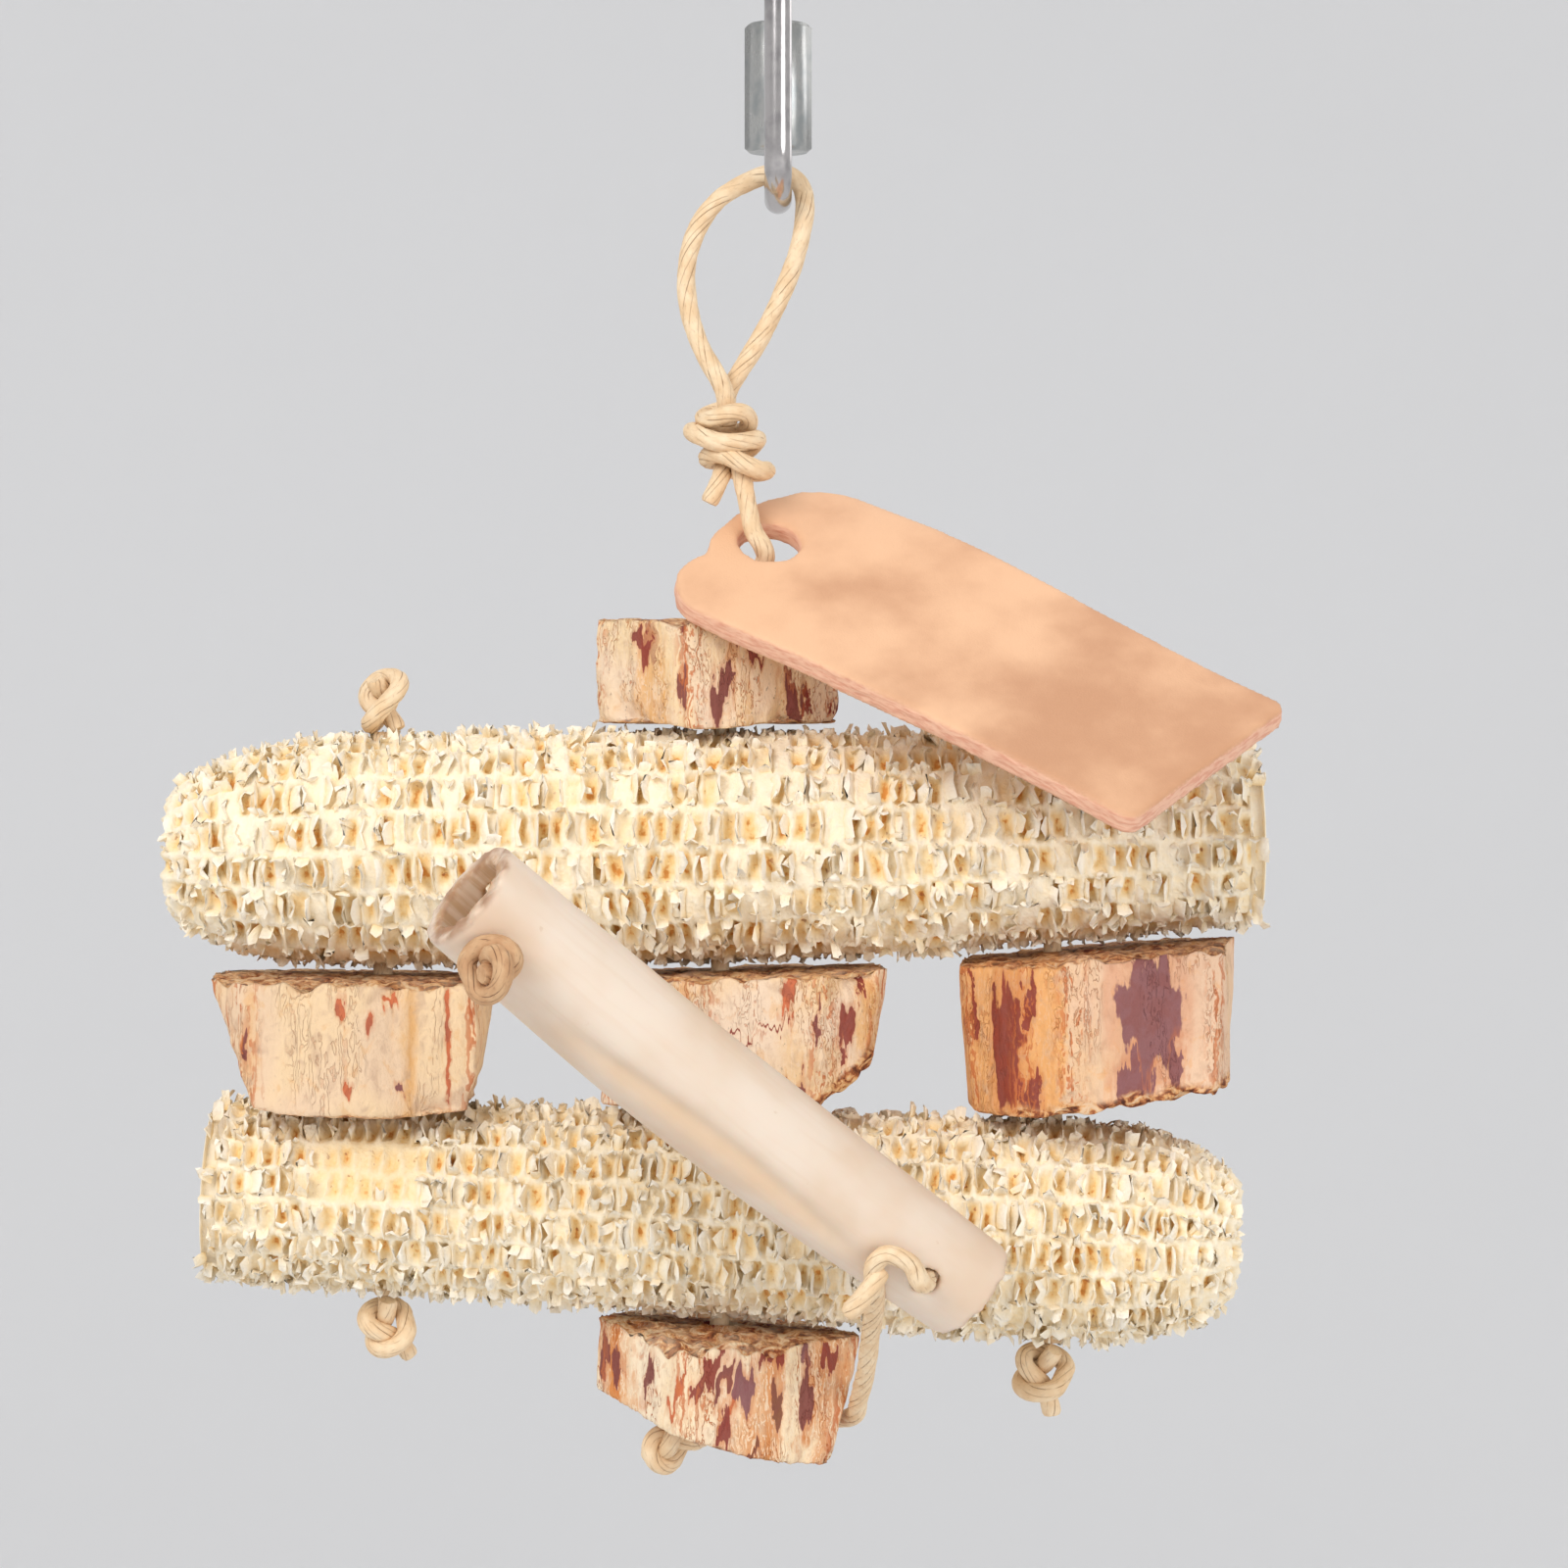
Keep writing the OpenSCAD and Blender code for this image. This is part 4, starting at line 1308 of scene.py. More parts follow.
STOPPERS = (
    StopperKnot(
        "knot_left_top", "left_top_knot", (LEFT_X, 0, -104.6), (0.02, -0.05, 1),
        roll=200, tail=2.2, wide=1.3, tall=0.95,
    ),
    StopperKnot(
        "knot_left_low", "left_bottom_knot", (LEFT_X, 0, -176.9), (0.3, -0.05, -1),
        roll=70, tail=4.6,
    ),
    StopperKnot(
        "knot_right_top", "right_top_knot", (RIGHT_X, 0, -104.6), (-0.05, 0, 1),
        roll=310, tail=2.6, wide=1.25,
    ),
    StopperKnot(
        "knot_right_low", "right_bottom_knot", (RIGHT_X, 0, -183.0), (-0.25, -0.1, -1),
        roll=150, tail=4.8, wide=1.3,
    ),
    StopperKnot(
        "knot_main_low", "main_bottom_knot", (-10.8, 1.0, -193.6), (-0.78, 0.1, -0.6),
        roll=30, tail=3.6, wide=1.0,
    ),
    StopperKnot(
        "knot_stick_front", "stick_front_knot", (-33.0, -60.4, -130.6), (-0.06, -0.82, -0.57),
        roll=120, tail=0.8, lead=1.5, body="stick", wide=1.3, tall=0.8, paper=BROWN_PAPER,
    ),
    StopperKnot(
        "knot_stick_rear", "stick_rear_knot", (-28.5, 15.0, -125.45), (0, 1, 0.05),
        roll=250, tail=2.6,
    ),
)


class Chaff(Enum):
    """Where a scale of chaff stands."""

    WALL = "between two sockets of a row"
    RIDGE = "between two rows"
    CURL = "anywhere"


@dataclass
class Scale:
    """One scale of chaff, 1 wide and 1 high, standing along Y.

    It is hollow across by its cup, its tip bends over by its curl, and its middle stands above its corners
    by its point. Its lightness goes from its root up to its tip, which paints shade on the root deep in the
    socket along with the chaff's own warmer tone there.
    """

    cup: float
    curl: float
    point: float
    thick: float = 0.12
    ragged: float = 0.15
    shaded_root_lightness: float = 0.24
    more_light: float = 0.56
    uneven: float = 0.08

    def __post_init__(self) -> None:
        """Makes the scale's mesh."""
        bm = bmesh.new()
        bm.verts.layers.float.new("rise")
        bmesh.ops.create_grid(bm, x_segments=2, y_segments=2, size=0.5)
        for vert in bm.verts:
            x, y = vert.co.x, vert.co.y + 0.5
            width = 0.9 + 0.35 * y - 0.35 * y * y
            dish = self.cup * (4 * x * x - 0.5) * (0.4 + y)
            vert.co = Vector((x * width, y + self.point * y * (0.5 - abs(x)), dish + self.curl * y * y))
        both_sides = 2 * len(bm.faces)
        bmesh.ops.solidify(bm, geom=bm.faces, thickness=self.thick)
        bmesh.ops.recalc_face_normals(bm, faces=bm.faces)
        in_order(bm, both_sides)
        self.mesh = bpy.data.meshes.new("scale")
        bm.to_mesh(self.mesh)
        bm.free()
        self.shape = np.array([tuple(v.co) for v in self.mesh.vertices])
        self.height = np.clip(self.shape[:, 1], 0, None)

    def set_into(self, bm: bmesh.types.BMesh, place: Matrix, rng: random.Random) -> None:
        """Adds the scale to a mesh.

        Args:
            bm: The mesh.
            place: The scale's size, turn and place.
            rng: Source of its irregularity.
        """
        turn = np.array(place)
        ragged = np.array([[rng.gauss(0, self.ragged) for _ in range(3)] for _ in self.height])
        bent = self.shape @ turn[:3, :3].T + turn[:3, 3] + ragged * self.height[:, None]
        # Painted shade: the scale is darker towards its root, deep in the socket.
        rise = self.shaded_root_lightness + self.more_light * self.height + rng.gauss(0, self.uneven)
        self.mesh.vertices.foreach_set("co", bent.ravel())
        self.mesh.attributes["rise"].data.foreach_set("value", rise)
        bm.from_mesh(self.mesh)

    def free(self) -> None:
        """Drops the scale's mesh."""
        bpy.data.meshes.remove(self.mesh)


@dataclass
class CornCob:
    """A dried corn cob: soft sockets in staggered rows, covered with papery chaff.

    Its axis runs from the round end, where the dome and belly begin, to the sawn end. Seats are stretches
    along X with a block on them, above (1) or below (-1).
    """

    name: str
    node: str
    height: float
    tilt: float
    reach: float
    length: float
    radius: float
    cut_radius: float
    belly: float
    dome: float
    swell: float
    power: float
    flipped: bool
    pitch: float
    seed: int
    roughness: float
    shut: float
    seats: tuple[tuple[float, float, int], ...]
    bare: tuple[Point, Point] | None = None
    rows: int = 18
    row_sides: int = 7
    depth: float = 2.3
    dome_tip: float = 0.4
    root: float = 1.4
    grain: float = 0.36
    tip_in: float = 1.1
    tip_r: float = 2.5
    rim_in: float = 1.2
    rim_bevel: float = 0.2
    rim_width: float = 0.6
    sawn_rings: tuple[tuple[float, float], ...] = (
        (0.0, 8.3),
        (0.15, 7.6),
        (0.0, 5.0),
        (0.2, 4.4),
        (1.2, 3.7),
        (1.4, 2.2),
        (1.5, 0.0),
    )
    wall: float = 0.46
    ridge: float = 0.85
    stand_out: float = 0.7
    seat_in: float = 0.25
    curls: float = 0.3
    scale_forms: tuple[Point, ...] = (
        (0.25, 0.2, 0.15),
        (-0.2, -0.3, 0.35),
        (0.3, 0.45, -0.15),
        (-0.3, 0.4, 0.2),
        (0.15, -0.4, 0.4),
    )
    crease: float = 80.0

    def radius_at(self, u: float) -> float:
        """Gives the radius at a distance from the round end.

        Args:
            u: The distance in millimetres.

        Returns:
            The radius in millimetres.
        """
        if u > self.belly:
            share = (u - self.belly) / (self.length - self.belly)
            return self.radius - (self.radius - self.cut_radius) * share**self.power
        share = 1 - max(u, 0.0) / self.dome
        end = 1.0 if u >= self.dome else self.dome_tip + (1 - self.dome_tip) * math.sqrt(1 - share * share)
        return (self.radius - self.swell * ((self.belly - u) / self.belly) ** 2) * end

    def outward(self, u: float, angle: float) -> Vector:
        """Gives the direction straight out of the cob."""
        slope = (self.radius_at(u + 0.4) - self.radius_at(u - 0.4)) / 0.8
        return Vector((-slope, math.cos(angle), math.sin(angle))).normalized()

    def matrix(self) -> Matrix:
        """Gives the turn and shift from the cob's own axis to its place.

        Returns:
            The cob's place.
        """
        place = Matrix.Translation((MAIN_X, 0, self.height))
        if self.flipped:
            lean = Matrix.Rotation(math.radians(self.tilt), 4, "Y") @ Matrix.Translation((self.reach, 0, 0))
            return place @ lean @ Matrix.Rotation(math.pi, 4, "Z")
        lean = Matrix.Rotation(math.radians(-self.tilt), 4, "Y")
        return place @ lean @ Matrix.Translation((-self.reach, 0, 0))

    def profile(self) -> list[Point]:
        """Gives the outline that is spun into the body, from the round end to the sunken pith.

        Returns:
            Points of the outline, along X and out along Z.
        """
        count = round(self.length / self.grain)
        points = [(self.tip_in, 0.0, 0.0), (self.tip_in, 0.0, self.tip_r)]
        for i in range(count):
            u = self.tip_in + (self.length - self.tip_in) * i / count
            points.append((u, 0.0, self.radius_at(u) - self.depth))
        rim = self.cut_radius - self.rim_in
        for inset, r in ((self.rim_bevel, rim), (0.0, rim - self.rim_width), *self.sawn_rings):
            points.append((self.length - inset, 0.0, r))
        return points

    def core(self) -> bpy.types.Mesh:
        """Spins the body, with a wall round every socket and a sunken pith.

        Returns:
            The body's mesh in place, with the lightness of each point as "rise", which carries painted shade
            in the sockets.
        """
        bm = spun(self.profile(), (1, 0, 0), self.rows * self.row_sides, 1e-4)
        rise = bm.verts.layers.float.new("rise")
        for vert in bm.verts:
            u, y, z = vert.co
            r = math.hypot(y, z)
            if u > self.length - 2.0 or r < 2.6:
                vert[rise] = self.end_light(r, math.atan2(z, y))
                continue
            lift, vert[rise] = self.relief(vert.co, math.atan2(z, y), r + self.depth)
            vert.co += self.outward(u, math.atan2(z, y)) * lift
        bmesh.ops.transform(bm, matrix=self.matrix(), verts=bm.verts)
        mesh = bpy.data.meshes.new("core")
        bm.to_mesh(mesh)
        bm.free()
        return mesh

    def end_light(self, r: float, angle: float) -> float:
        """Gives how light the sawn end is: pale pith, a tan ring of wood and streaked chaff."""
        streak = noise.noise(Vector((math.cos(angle) * 7, math.sin(angle) * 7, self.seed)))
        wood = eased(3.9, 4.5, r) * eased(8.4, 7.4, r)
        return 0.62 - 0.46 * wood + 0.22 * streak * eased(3.0, 6.0, r)

    def relief(self, spot: Vector, angle: float, r: float) -> tuple[float, float]:
        """Gives the form of the sockets and their thin walls at a point of the body.

        Args:
            spot: The point.
            angle: Its way round the cob.
            r: The cob's radius there.

        Returns:
            How far the point stands out, and how light it is, which follows how far it stands out as painted
            shade in the sockets.
        """
        shake = noise.noise_vector(spot * 0.33)
        across = angle / (2 * math.pi) * self.rows + 0.14 * shake.y
        row = math.floor(across)
        ripple = 0.25 * noise.noise(Vector((spot.x * 0.5, spot.y * 0.9, spot.z * 0.9)))
        along = (spot.x + 0.7 * shake.x + ripple) / self.pitch + self.row_shift(row)
        cell = math.floor(along)
        high = 2 * math.pi * r / self.rows
        from_wall = (0.5 - abs(along - cell - 0.5)) * self.pitch
        from_row = (0.5 - abs(across - row - 0.5)) * high
        wall = math.exp(-((from_wall / self.wall) ** 2))
        ridge = math.exp(-((from_row / self.ridge) ** 2))
        shut = noise.cell(Vector((row % self.rows + 0.5, cell + 0.5, self.seed)))
        shut = self.shut * eased(0.0, 0.75, shut)
        rough = noise.fractal(spot * 1.3, 1.0, 2.0, 3)
        stand = max(wall, ridge * 0.9, shut)
        bald = self.bald_at(self.matrix() @ spot)
        stand -= bald * (0.42 * stand - 0.08)
        lift = 0.5 + 1.3 * stand + 0.3 * rough * (1 - 0.4 * bald)
        # Painted shade: the lightness follows the lift, so the sockets darken the deeper they go.
        light = 0.04 + 0.62 * stand + 0.16 * rough * (1 - 0.4 * bald) - 0.16 * bald * stand
        return min(lift, self.depth - 0.2), light

    def bald_at(self, spot: Vector) -> float:
        """Gives 1 where the chaff is rubbed off the sockets, and 0 elsewhere.

        Args:
            spot: A point in its place.

        Returns:
            The share that is rubbed off.
        """
        if self.bare is None:
            return 0.0
        middle, half = self.bare
        shares = [abs(a - b) / c for a, b, c in zip(spot, middle, half)]
        return eased(1.15, 0.9, max(shares) + 0.15 * noise.noise(spot * 0.5))

    def row_shift(self, row: int) -> float:
        """Gives how far a row's sockets are moved along, in sockets."""
        return 0.5 * (row % 2) + 0.4 * noise.cell(Vector((row % self.rows + 0.5, self.seed, 0)))

    def spare(self, u: float, angle: float, to_world: Matrix) -> float:
        """Gives how far chaff may stand out of the cob's outline.

        Args:
            u: Distance from the round end.
            angle: Way round the cob.
            to_world: The cob's place.

        Returns:
            The distance, which is negative under a block.
        """
        r = self.radius_at(u)
        at = to_world @ Vector((u, r * math.cos(angle), r * math.sin(angle)))
        for low, high, side in self.seats:
            if low < at.x < high and side * (at.z - (to_world @ Vector((u, 0, 0))).z) > 0.86 * r:
                return -self.seat_in
        return self.stand_out

    def chaff(self, bm: bmesh.types.BMesh) -> None:
        """Sets scales round every socket.

        Args:
            bm: The mesh they go into.
        """
        rng = random.Random(self.seed)
        to_world = self.matrix()
        scales = [Scale(*form) for form in self.scale_forms]
        for ring in range(round((self.length - 2) / self.pitch) + 2):
            for row in range(self.rows):
                for kind in Chaff:
                    place = self.stand(rng, ring, row, kind, to_world)
                    if place is not None and (kind is not Chaff.CURL or rng.random() < self.curls):
                        rng.choice(scales).set_into(bm, to_world @ place, rng)
        for scale in scales:
            scale.free()

    def stand(
        self, rng: random.Random, ring: int, row: int, kind: Chaff, to_world: Matrix
    ) -> Matrix | None:
        """Chooses the place of one scale.

        Args:
            rng: Source of its irregularity.
            ring: Which ring of sockets.
            row: Which row of sockets.
            kind: Where it stands.
            to_world: The cob's place.

        Returns:
            Its size, turn and place, or None past the cob's end.
        """
        across = {
            Chaff.WALL: rng.gauss(0.5, 0.07),
            Chaff.RIDGE: rng.gauss(0, 0.05),
            Chaff.CURL: rng.random(),
        }[kind]
        ahead = {
            Chaff.WALL: rng.gauss(0, 0.06),
            Chaff.RIDGE: rng.random(),
            Chaff.CURL: rng.random(),
        }[kind]
        u = (ring + ahead - self.row_shift(row)) * self.pitch
        angle = (row + across) * 2 * math.pi / self.rows
        if not 0.3 < u < self.length - 0.3:
            return None
        r = self.radius_at(u)
        out = self.outward(u, angle)
        round_way = Vector((0, -math.sin(angle), math.cos(angle)))
        along = round_way.cross(out)
        side, face = (along, round_way) if kind is Chaff.RIDGE else (round_way, along)
        if kind is Chaff.CURL:
            spin = rng.uniform(0, math.pi)
            side = round_way * math.cos(spin) + along * math.sin(spin)
            face = side.cross(out)
        steep = {Chaff.WALL: (4, 34), Chaff.RIDGE: (10, 48), Chaff.CURL: (25, 60)}[kind]
        tilt = math.radians(rng.uniform(*steep)) * rng.choice((-1, 1))
        up = (out * math.cos(tilt) + face * math.sin(tilt) + side * rng.gauss(0, 0.12)).normalized()
        proud = min(self.spare(u, angle, to_world), rng.gauss(0.1, self.roughness))
        tall = min(2.4, max(0.7, (self.root + proud) / math.cos(tilt)))
        wide = {
            Chaff.WALL: 2 * math.pi * r / self.rows * rng.uniform(0.5, 0.85),
            Chaff.RIDGE: rng.uniform(0.8, 1.8),
            Chaff.CURL: rng.uniform(0.6, 1.2),
        }[kind]
        thick = up.cross(side) * rng.uniform(0.8, 1.5)
        turn = Matrix((side * wide, up * tall, thick)).transposed().to_4x4()
        foot = Vector((u, r * math.cos(angle), r * math.sin(angle))) - out * self.root
        if self.bald_at(to_world @ foot) > 0.5:
            return None
        return Matrix.Translation(foot) @ turn

    def build(self, finish: bpy.types.Material) -> None:
        """Makes the cob's object and lets it stand for its solid.

        Args:
            finish: The chaff.
        """
        bm = bmesh.new()
        bm.verts.layers.float.new("rise")
        self.chaff(bm)
        wood = self.core()
        bm.from_mesh(wood)
        bpy.data.meshes.remove(wood)
        stand_for(piece_of(self.name, bm, finish, self.crease), "cob", "stack", self.node)


@dataclass
class BarkBlock:
    """A block of bark, sawn at the sides and broken at the ends, that goes by its finish's name.

    The bore is two points of its axis, swing is how far the block turns on it in degrees, and the cut is a
    point and the outward direction of a slanting break.
    """

    finish: BarkFinish
    front_drop: float
    under_lift: float
    bore: tuple[Point, Point] = ((MAIN_X, 0, 0), (MAIN_X, 0, -1))
    swing: float = 15.0
    back_trim: float = 0.0
    cut: tuple[Point, Point] | None = None
    bore_r: float = 2.6
    bore_ease: float = 0.3
    voxel: float = 0.5
    rounds: int = 3
    corner_reach: float = 3.2
    corner_core: float = 0.4
    corner_length: float = 6.0
    corner_angle: float = 18.0

    def build(self) -> None:
        """Makes the block's object and lets it stand for its solid."""
        side = self.finish.name
        sharp = solid_copy(side + "_bark")
        corners = self.corners(sharp)
        bm = remeshed(sharp, self.voxel, self.rounds)
        crumble = bm.verts.layers.float.new("crumble")
        corner = bm.verts.layers.float.new("corner")
        heights = [v.co.z for v in bm.verts]
        span = (min(heights), max(heights))
        for vert in bm.verts:
            gap = min(from_line(vert.co, edge).length for edge in corners)
            vert[corner] = eased(self.corner_reach, self.corner_core, gap)
            self.weather(vert, crumble, span, gap)
        bm.normal_update()
        made = piece_of("block_" + side, bm, self.finish.material())
        stand_for(made, "bark", side + "_block", side + "_bark")

    def corners(self, sharp: bmesh.types.BMesh) -> list[tuple[Vector, Vector]]:
        """Finds the upright edges where two sides meet.

        Args:
            sharp: The plain block.

        Returns:
            Two points of each edge.
        """
        found = []
        for edge in sharp.edges:
            a, b = (v.co.copy() for v in edge.verts)
            upright = abs((a - b).normalized().z) > 0.7
            bent = edge.calc_face_angle(0) > math.radians(self.corner_angle)
            if upright and bent and (a - b).length > self.corner_length:
                found.append((a, b))
        return found

    def weather(
        self,
        vert: bmesh.types.BMVert,
        crumble: bmesh.types.BMLayerItem,
        span: tuple[float, float],
        gap: float,
    ) -> None:
        """Breaks the ends along the layers and wears the sides, but leaves the bore whole.

        Args:
            vert: A point of the block.
            crumble: Layer that says how broken a point is.
            span: The block's lowest and highest height.
            gap: Distance from the nearest upright edge.
        """
        p = vert.co.copy()
        n = vert.normal
        off = from_line(p, self.bore)
        if off.length < self.bore_r:
            vert.co = p - n * self.bore_ease
            return
        low, high = span
        at = p + Vector((7, 3, 1)) * self.finish.seed
        broken = eased(0.5, 0.85, abs(n.z))
        crumbs = noise.fractal(at * 0.55, 0.9, 2.1, 4)
        vert[crumble] = broken * min(1.0, 0.75 + 0.4 * crumbs)
        lost = self.lost(at, min(high - p.z, p.z - low), gap)
        placed = p + n * (self.wear(at) - lost) * (1 - broken)
        placed += self.sagged(p, at, off, (p.z - low) / (high - low))
        placed.z -= math.copysign(self.dip(at, crumbs, n.z), n.z) * broken
        if self.cut is not None:
            face = Vector(self.cut[1]).normalized()
            past = (placed - Vector(self.cut[0])).dot(face) - 1.2 * noise.noise(at * 0.35)
            placed -= face * max(0.0, past) * 0.9
            vert[crumble] = max(vert[crumble], eased(-1.5, -0.5, past))
        vert.co = placed

    @staticmethod
    def wear(at: Vector) -> float:
        """Gives how far the sanded sides stand out along the grain."""
        grain = noise.noise(Vector((at.x * 0.55, at.y * 0.55, at.z * 0.07)))
        fine = noise.noise(Vector((at.x * 1.7, at.y * 1.7, at.z * 0.35)))
        return 0.08 + 0.26 * grain + 0.14 * fine

    @staticmethod
    def lost(at: Vector, near: float, gap: float) -> float:
        """Gives how much is nicked, worn and chipped off the edges.

        Args:
            at: A point in the noise.
            near: Its distance from the nearer end.
            gap: Its distance from the nearest upright edge.

        Returns:
            The depth in millimetres.
        """
        nick = max(0.0, noise.noise(at * 0.45) - 0.05) * eased(2.6, 0.0, near)
        worn = max(0.0, 0.25 + noise.noise(at * 0.4)) * eased(1.8, 0.0, gap)
        chip = max(0.0, noise.noise(at * 0.19) - 0.1) * eased(4.5, 0.0, near)
        return nick + 0.6 * worn + 2.6 * chip

    @staticmethod
    def dip(at: Vector, crumbs: float, upward: float) -> float:
        """Gives how deep a broken end is.

        Args:
            at: A point in the noise.
            crumbs: Fine noise there.
            upward: Above 0 on the upper end, which is broken deeper.

        Returns:
            The depth in millimetres, in steps along the layers.
        """
        layers = noise.noise(Vector((at.x * 0.16, at.y * 0.16, 3.1))) * 2.2
        steps = (math.floor(layers * 2.5) + 0.5) / 2.5
        return (0.25 + 0.35 * abs(steps) + 0.5 * max(0.0, crumbs)) * (1.0 if upward > 0 else 0.4)

    def sagged(self, p: Vector, at: Vector, off: Vector, share: float) -> Vector:
        """Gives the move that lets the front down and trims the underside.

        Args:
            p: A point of the block.
            at: Its place in the noise.
            off: The way to it from the bore's axis.
            share: 0 at the lowest and 1 at the highest point of the block.

        Returns:
            The move in millimetres.
        """
        rim = 1 + 0.9 * noise.noise(Vector((at.x * 0.4, at.y * 0.4, 8.2)))
        fall = -self.front_drop * rim * eased(-1.0, 13.0, -p.y) * share**2
        turned = math.radians(self.swing)
        ahead = -p.y * math.cos(turned) - abs(off.x) * math.sin(turned)
        fall += self.under_lift * eased(1.0, 11.0, ahead) * (1 - share) ** 2
        trim = self.back_trim * eased(4.0, 10.0, p.y) * (1 - share)
        return Vector((0, -trim, fall))


@dataclass
class LeatherTag:
    """The thick leather tag, warped at the end with the hole."""

    hole: Point = (-1.4, -2.0, -81.25)
    lean: Point = (33.5, 24.8, -27.0)
    length: float = 72.0
    width: float = 32.0
    hole_in: float = 6.5
    voxel: float = 0.45
    rounds: int = 5
    curl: float = 1.1
    wave: float = 0.35
    edge_rough: float = 0.22
    edge_in: float = 0.1
    dent: float = 1.3
    skew: float = 3.4
    droop: float = 1.2

    def build(self, finish: bpy.types.Material) -> None:
        """Makes the tag's object and lets it stand for its solid.

        Args:
            finish: The leather.
        """
        bm = remeshed(solid_copy("leather_tag"), self.voxel, self.rounds)
        local = bm.verts.layers.float_vector.new("local")
        rim = bm.verts.layers.float.new("rim")
        turn = Euler([math.radians(a) for a in self.lean], "XYZ").to_matrix().to_4x4()
        place = Matrix.Translation(self.hole) @ turn
        back = place.inverted()
        unturn = turn.to_3x3().inverted()
        for vert in bm.verts:
            p = back @ vert.co
            side = 1 - abs((unturn @ vert.normal).z)
            # The rim share marks the cut edge, whose pink raw colour is made a little lighter as a painted
            # highlight.
            vert[rim] = eased(0.3, 0.75, side)
            vert[local] = p
            vert.co = place @ self.warped(p, side)
        bm.normal_update()
        stand_for(piece_of("tag_leather", bm, finish), "leather", "tag", "leather_tag")

    def warped(self, p: Vector, side: float) -> Vector:
        """Warps a point of the flat tag.

        Args:
            p: The point, from the hole along the tag, across and out of it.
            side: 1 on the cut edge and 0 on the faces.

        Returns:
            The warped point.
        """
        half = self.width / 2
        end = eased(20.0, -self.hole_in, p.x)
        curl = -self.curl * end * (p.y / half) ** 2 - 0.25 * end
        wave = self.wave * math.sin(p.x * 0.09 + 0.6) * (p.y / half)
        rough = self.edge_rough * noise.noise(Vector((p.x * 0.5, p.y * 0.5, p.z * 1.4))) * side
        middle = Vector((self.length / 2 - self.hole_in, 0, 0))
        out = (Vector((p.x, p.y, 0)) - middle).normalized()
        dent = self.dent * math.exp(-(((p.y + 6.8) / 2.4) ** 2))
        cut_back = 5.4 * max(0.0, (p.y - 3) / 13) ** 1.4 + 1.8 * max(0.0, (-2 - p.y) / 14) ** 2 + dent
        skew = self.skew * (p.y + half) / self.width
        share = eased(-5.0, 22.0, p.x)
        shift = cut_back * (1 - share) + skew * share
        drop = -self.droop * eased(20.0, 65.0, p.x) * max(0.0, p.y / half)
        return p + Vector((shift, drop, curl + wave)) + out * (rough - self.edge_in * side)


@dataclass
class ChewStick:
    """The hollow dry stem, creased along its front."""

    middle: Point = (-6.25, -41.0, -148.422)
    fall: float = 126.4
    yaw: float = 26.9
    length: float = 82.5
    skin_r: float = 5.6
    voxel: float = 0.4
    rounds: int = 2
    crease_turn: float = -42.0
    crease_in: float = 0.7
    bow: float = 1.2
    fuller: float = 0.6

    def build(self, finish: bpy.types.Material) -> None:
        """Makes the stick's object and lets it stand for its solid.

        Args:
            finish: The dry stem.
        """
        bm = remeshed(solid_copy("chew_stick"), self.voxel, self.rounds)
        local = bm.verts.layers.float_vector.new("local")
        inner = bm.verts.layers.float.new("inner")
        stain = bm.verts.layers.float.new("stain")
        crease = bm.verts.layers.float.new("crease")
        turn = Matrix.Rotation(math.radians(self.yaw), 4, "Z")
        turn = turn @ Matrix.Rotation(math.radians(self.fall), 4, "Y")
        place = Matrix.Translation(self.middle) @ turn @ Matrix.Translation((0, 0, -self.length / 2))
        back = place.inverted()
        for vert in bm.verts:
            p = back @ vert.co
            r = math.hypot(p.x, p.y)
            vert[local] = p
            vert[inner] = eased(6.0, 5.2, r)
            end = min(p.z, self.length - p.z)
            vert[stain] = eased(0.9, 0.0, end) * (0.85 if p.z < self.length / 2 else 0.4)
            # Painted shade along the crease, a little wider than the groove and shifted to one side of it.
            vert[crease] = self.crease_at(p, 0.26, 0.08) if r > self.skin_r else 0.0
            vert.co = place @ self.shaped(p, r)
        bm.normal_update()
        stand_for(piece_of("stick_stem", bm, finish), "stick", "stick", "chew_stick")

    def shaped(self, p: Vector, r: float) -> Vector:
        """Gives the stem its crease, slight bend and broken ends.

        Args:
            p: A point of the plain tube, along Z from its upper end.
            r: Its distance from the axis.

        Returns:
            The shaped point.
        """
        angle = math.atan2(p.y, p.x)
        crease = -self.crease_in * self.crease_at(p, 0.2, 0.0) if r > self.skin_r else 0.0
        ripple = noise.noise(Vector((p.x * 0.12, p.y * 0.12, p.z * 0.05)))
        oval = 0.18 * math.cos(2 * (angle - 0.6)) + 0.12 * ripple
        belly = math.sin(math.pi * min(1.0, max(0.0, p.z / self.length)))
        grow = (r + crease + oval + self.fuller * belly) / max(r, 1e-6)
        end = 0.4 * noise.noise(Vector((p.x * 0.5, p.y * 0.5, 4.0)))
        along = p.z + end * (eased(1.5, 0.0, p.z) - eased(self.length - 1.5, self.length, p.z))
        return Vector((p.x * grow + self.bow * belly, p.y * grow, along))

    def crease_at(self, p: Vector, width: float, shift: float) -> float:
        """Gives how deep in the crease a point is.

        Args:
            p: A point of the plain tube.
            width: The crease's width, in radians.
            shift: Offset round the tube, in radians.

        Returns:
            1 in the middle of the crease and 0 away from it.
        """
        front = math.radians(self.crease_turn) + 0.12 * math.sin(p.z * 0.11) + shift
        off = (math.atan2(p.y, p.x) - front + math.pi) % (2 * math.pi) - math.pi
        return math.exp(-((off / width) ** 2)) * eased(12, 28, p.z) * eased(72, 54, p.z)


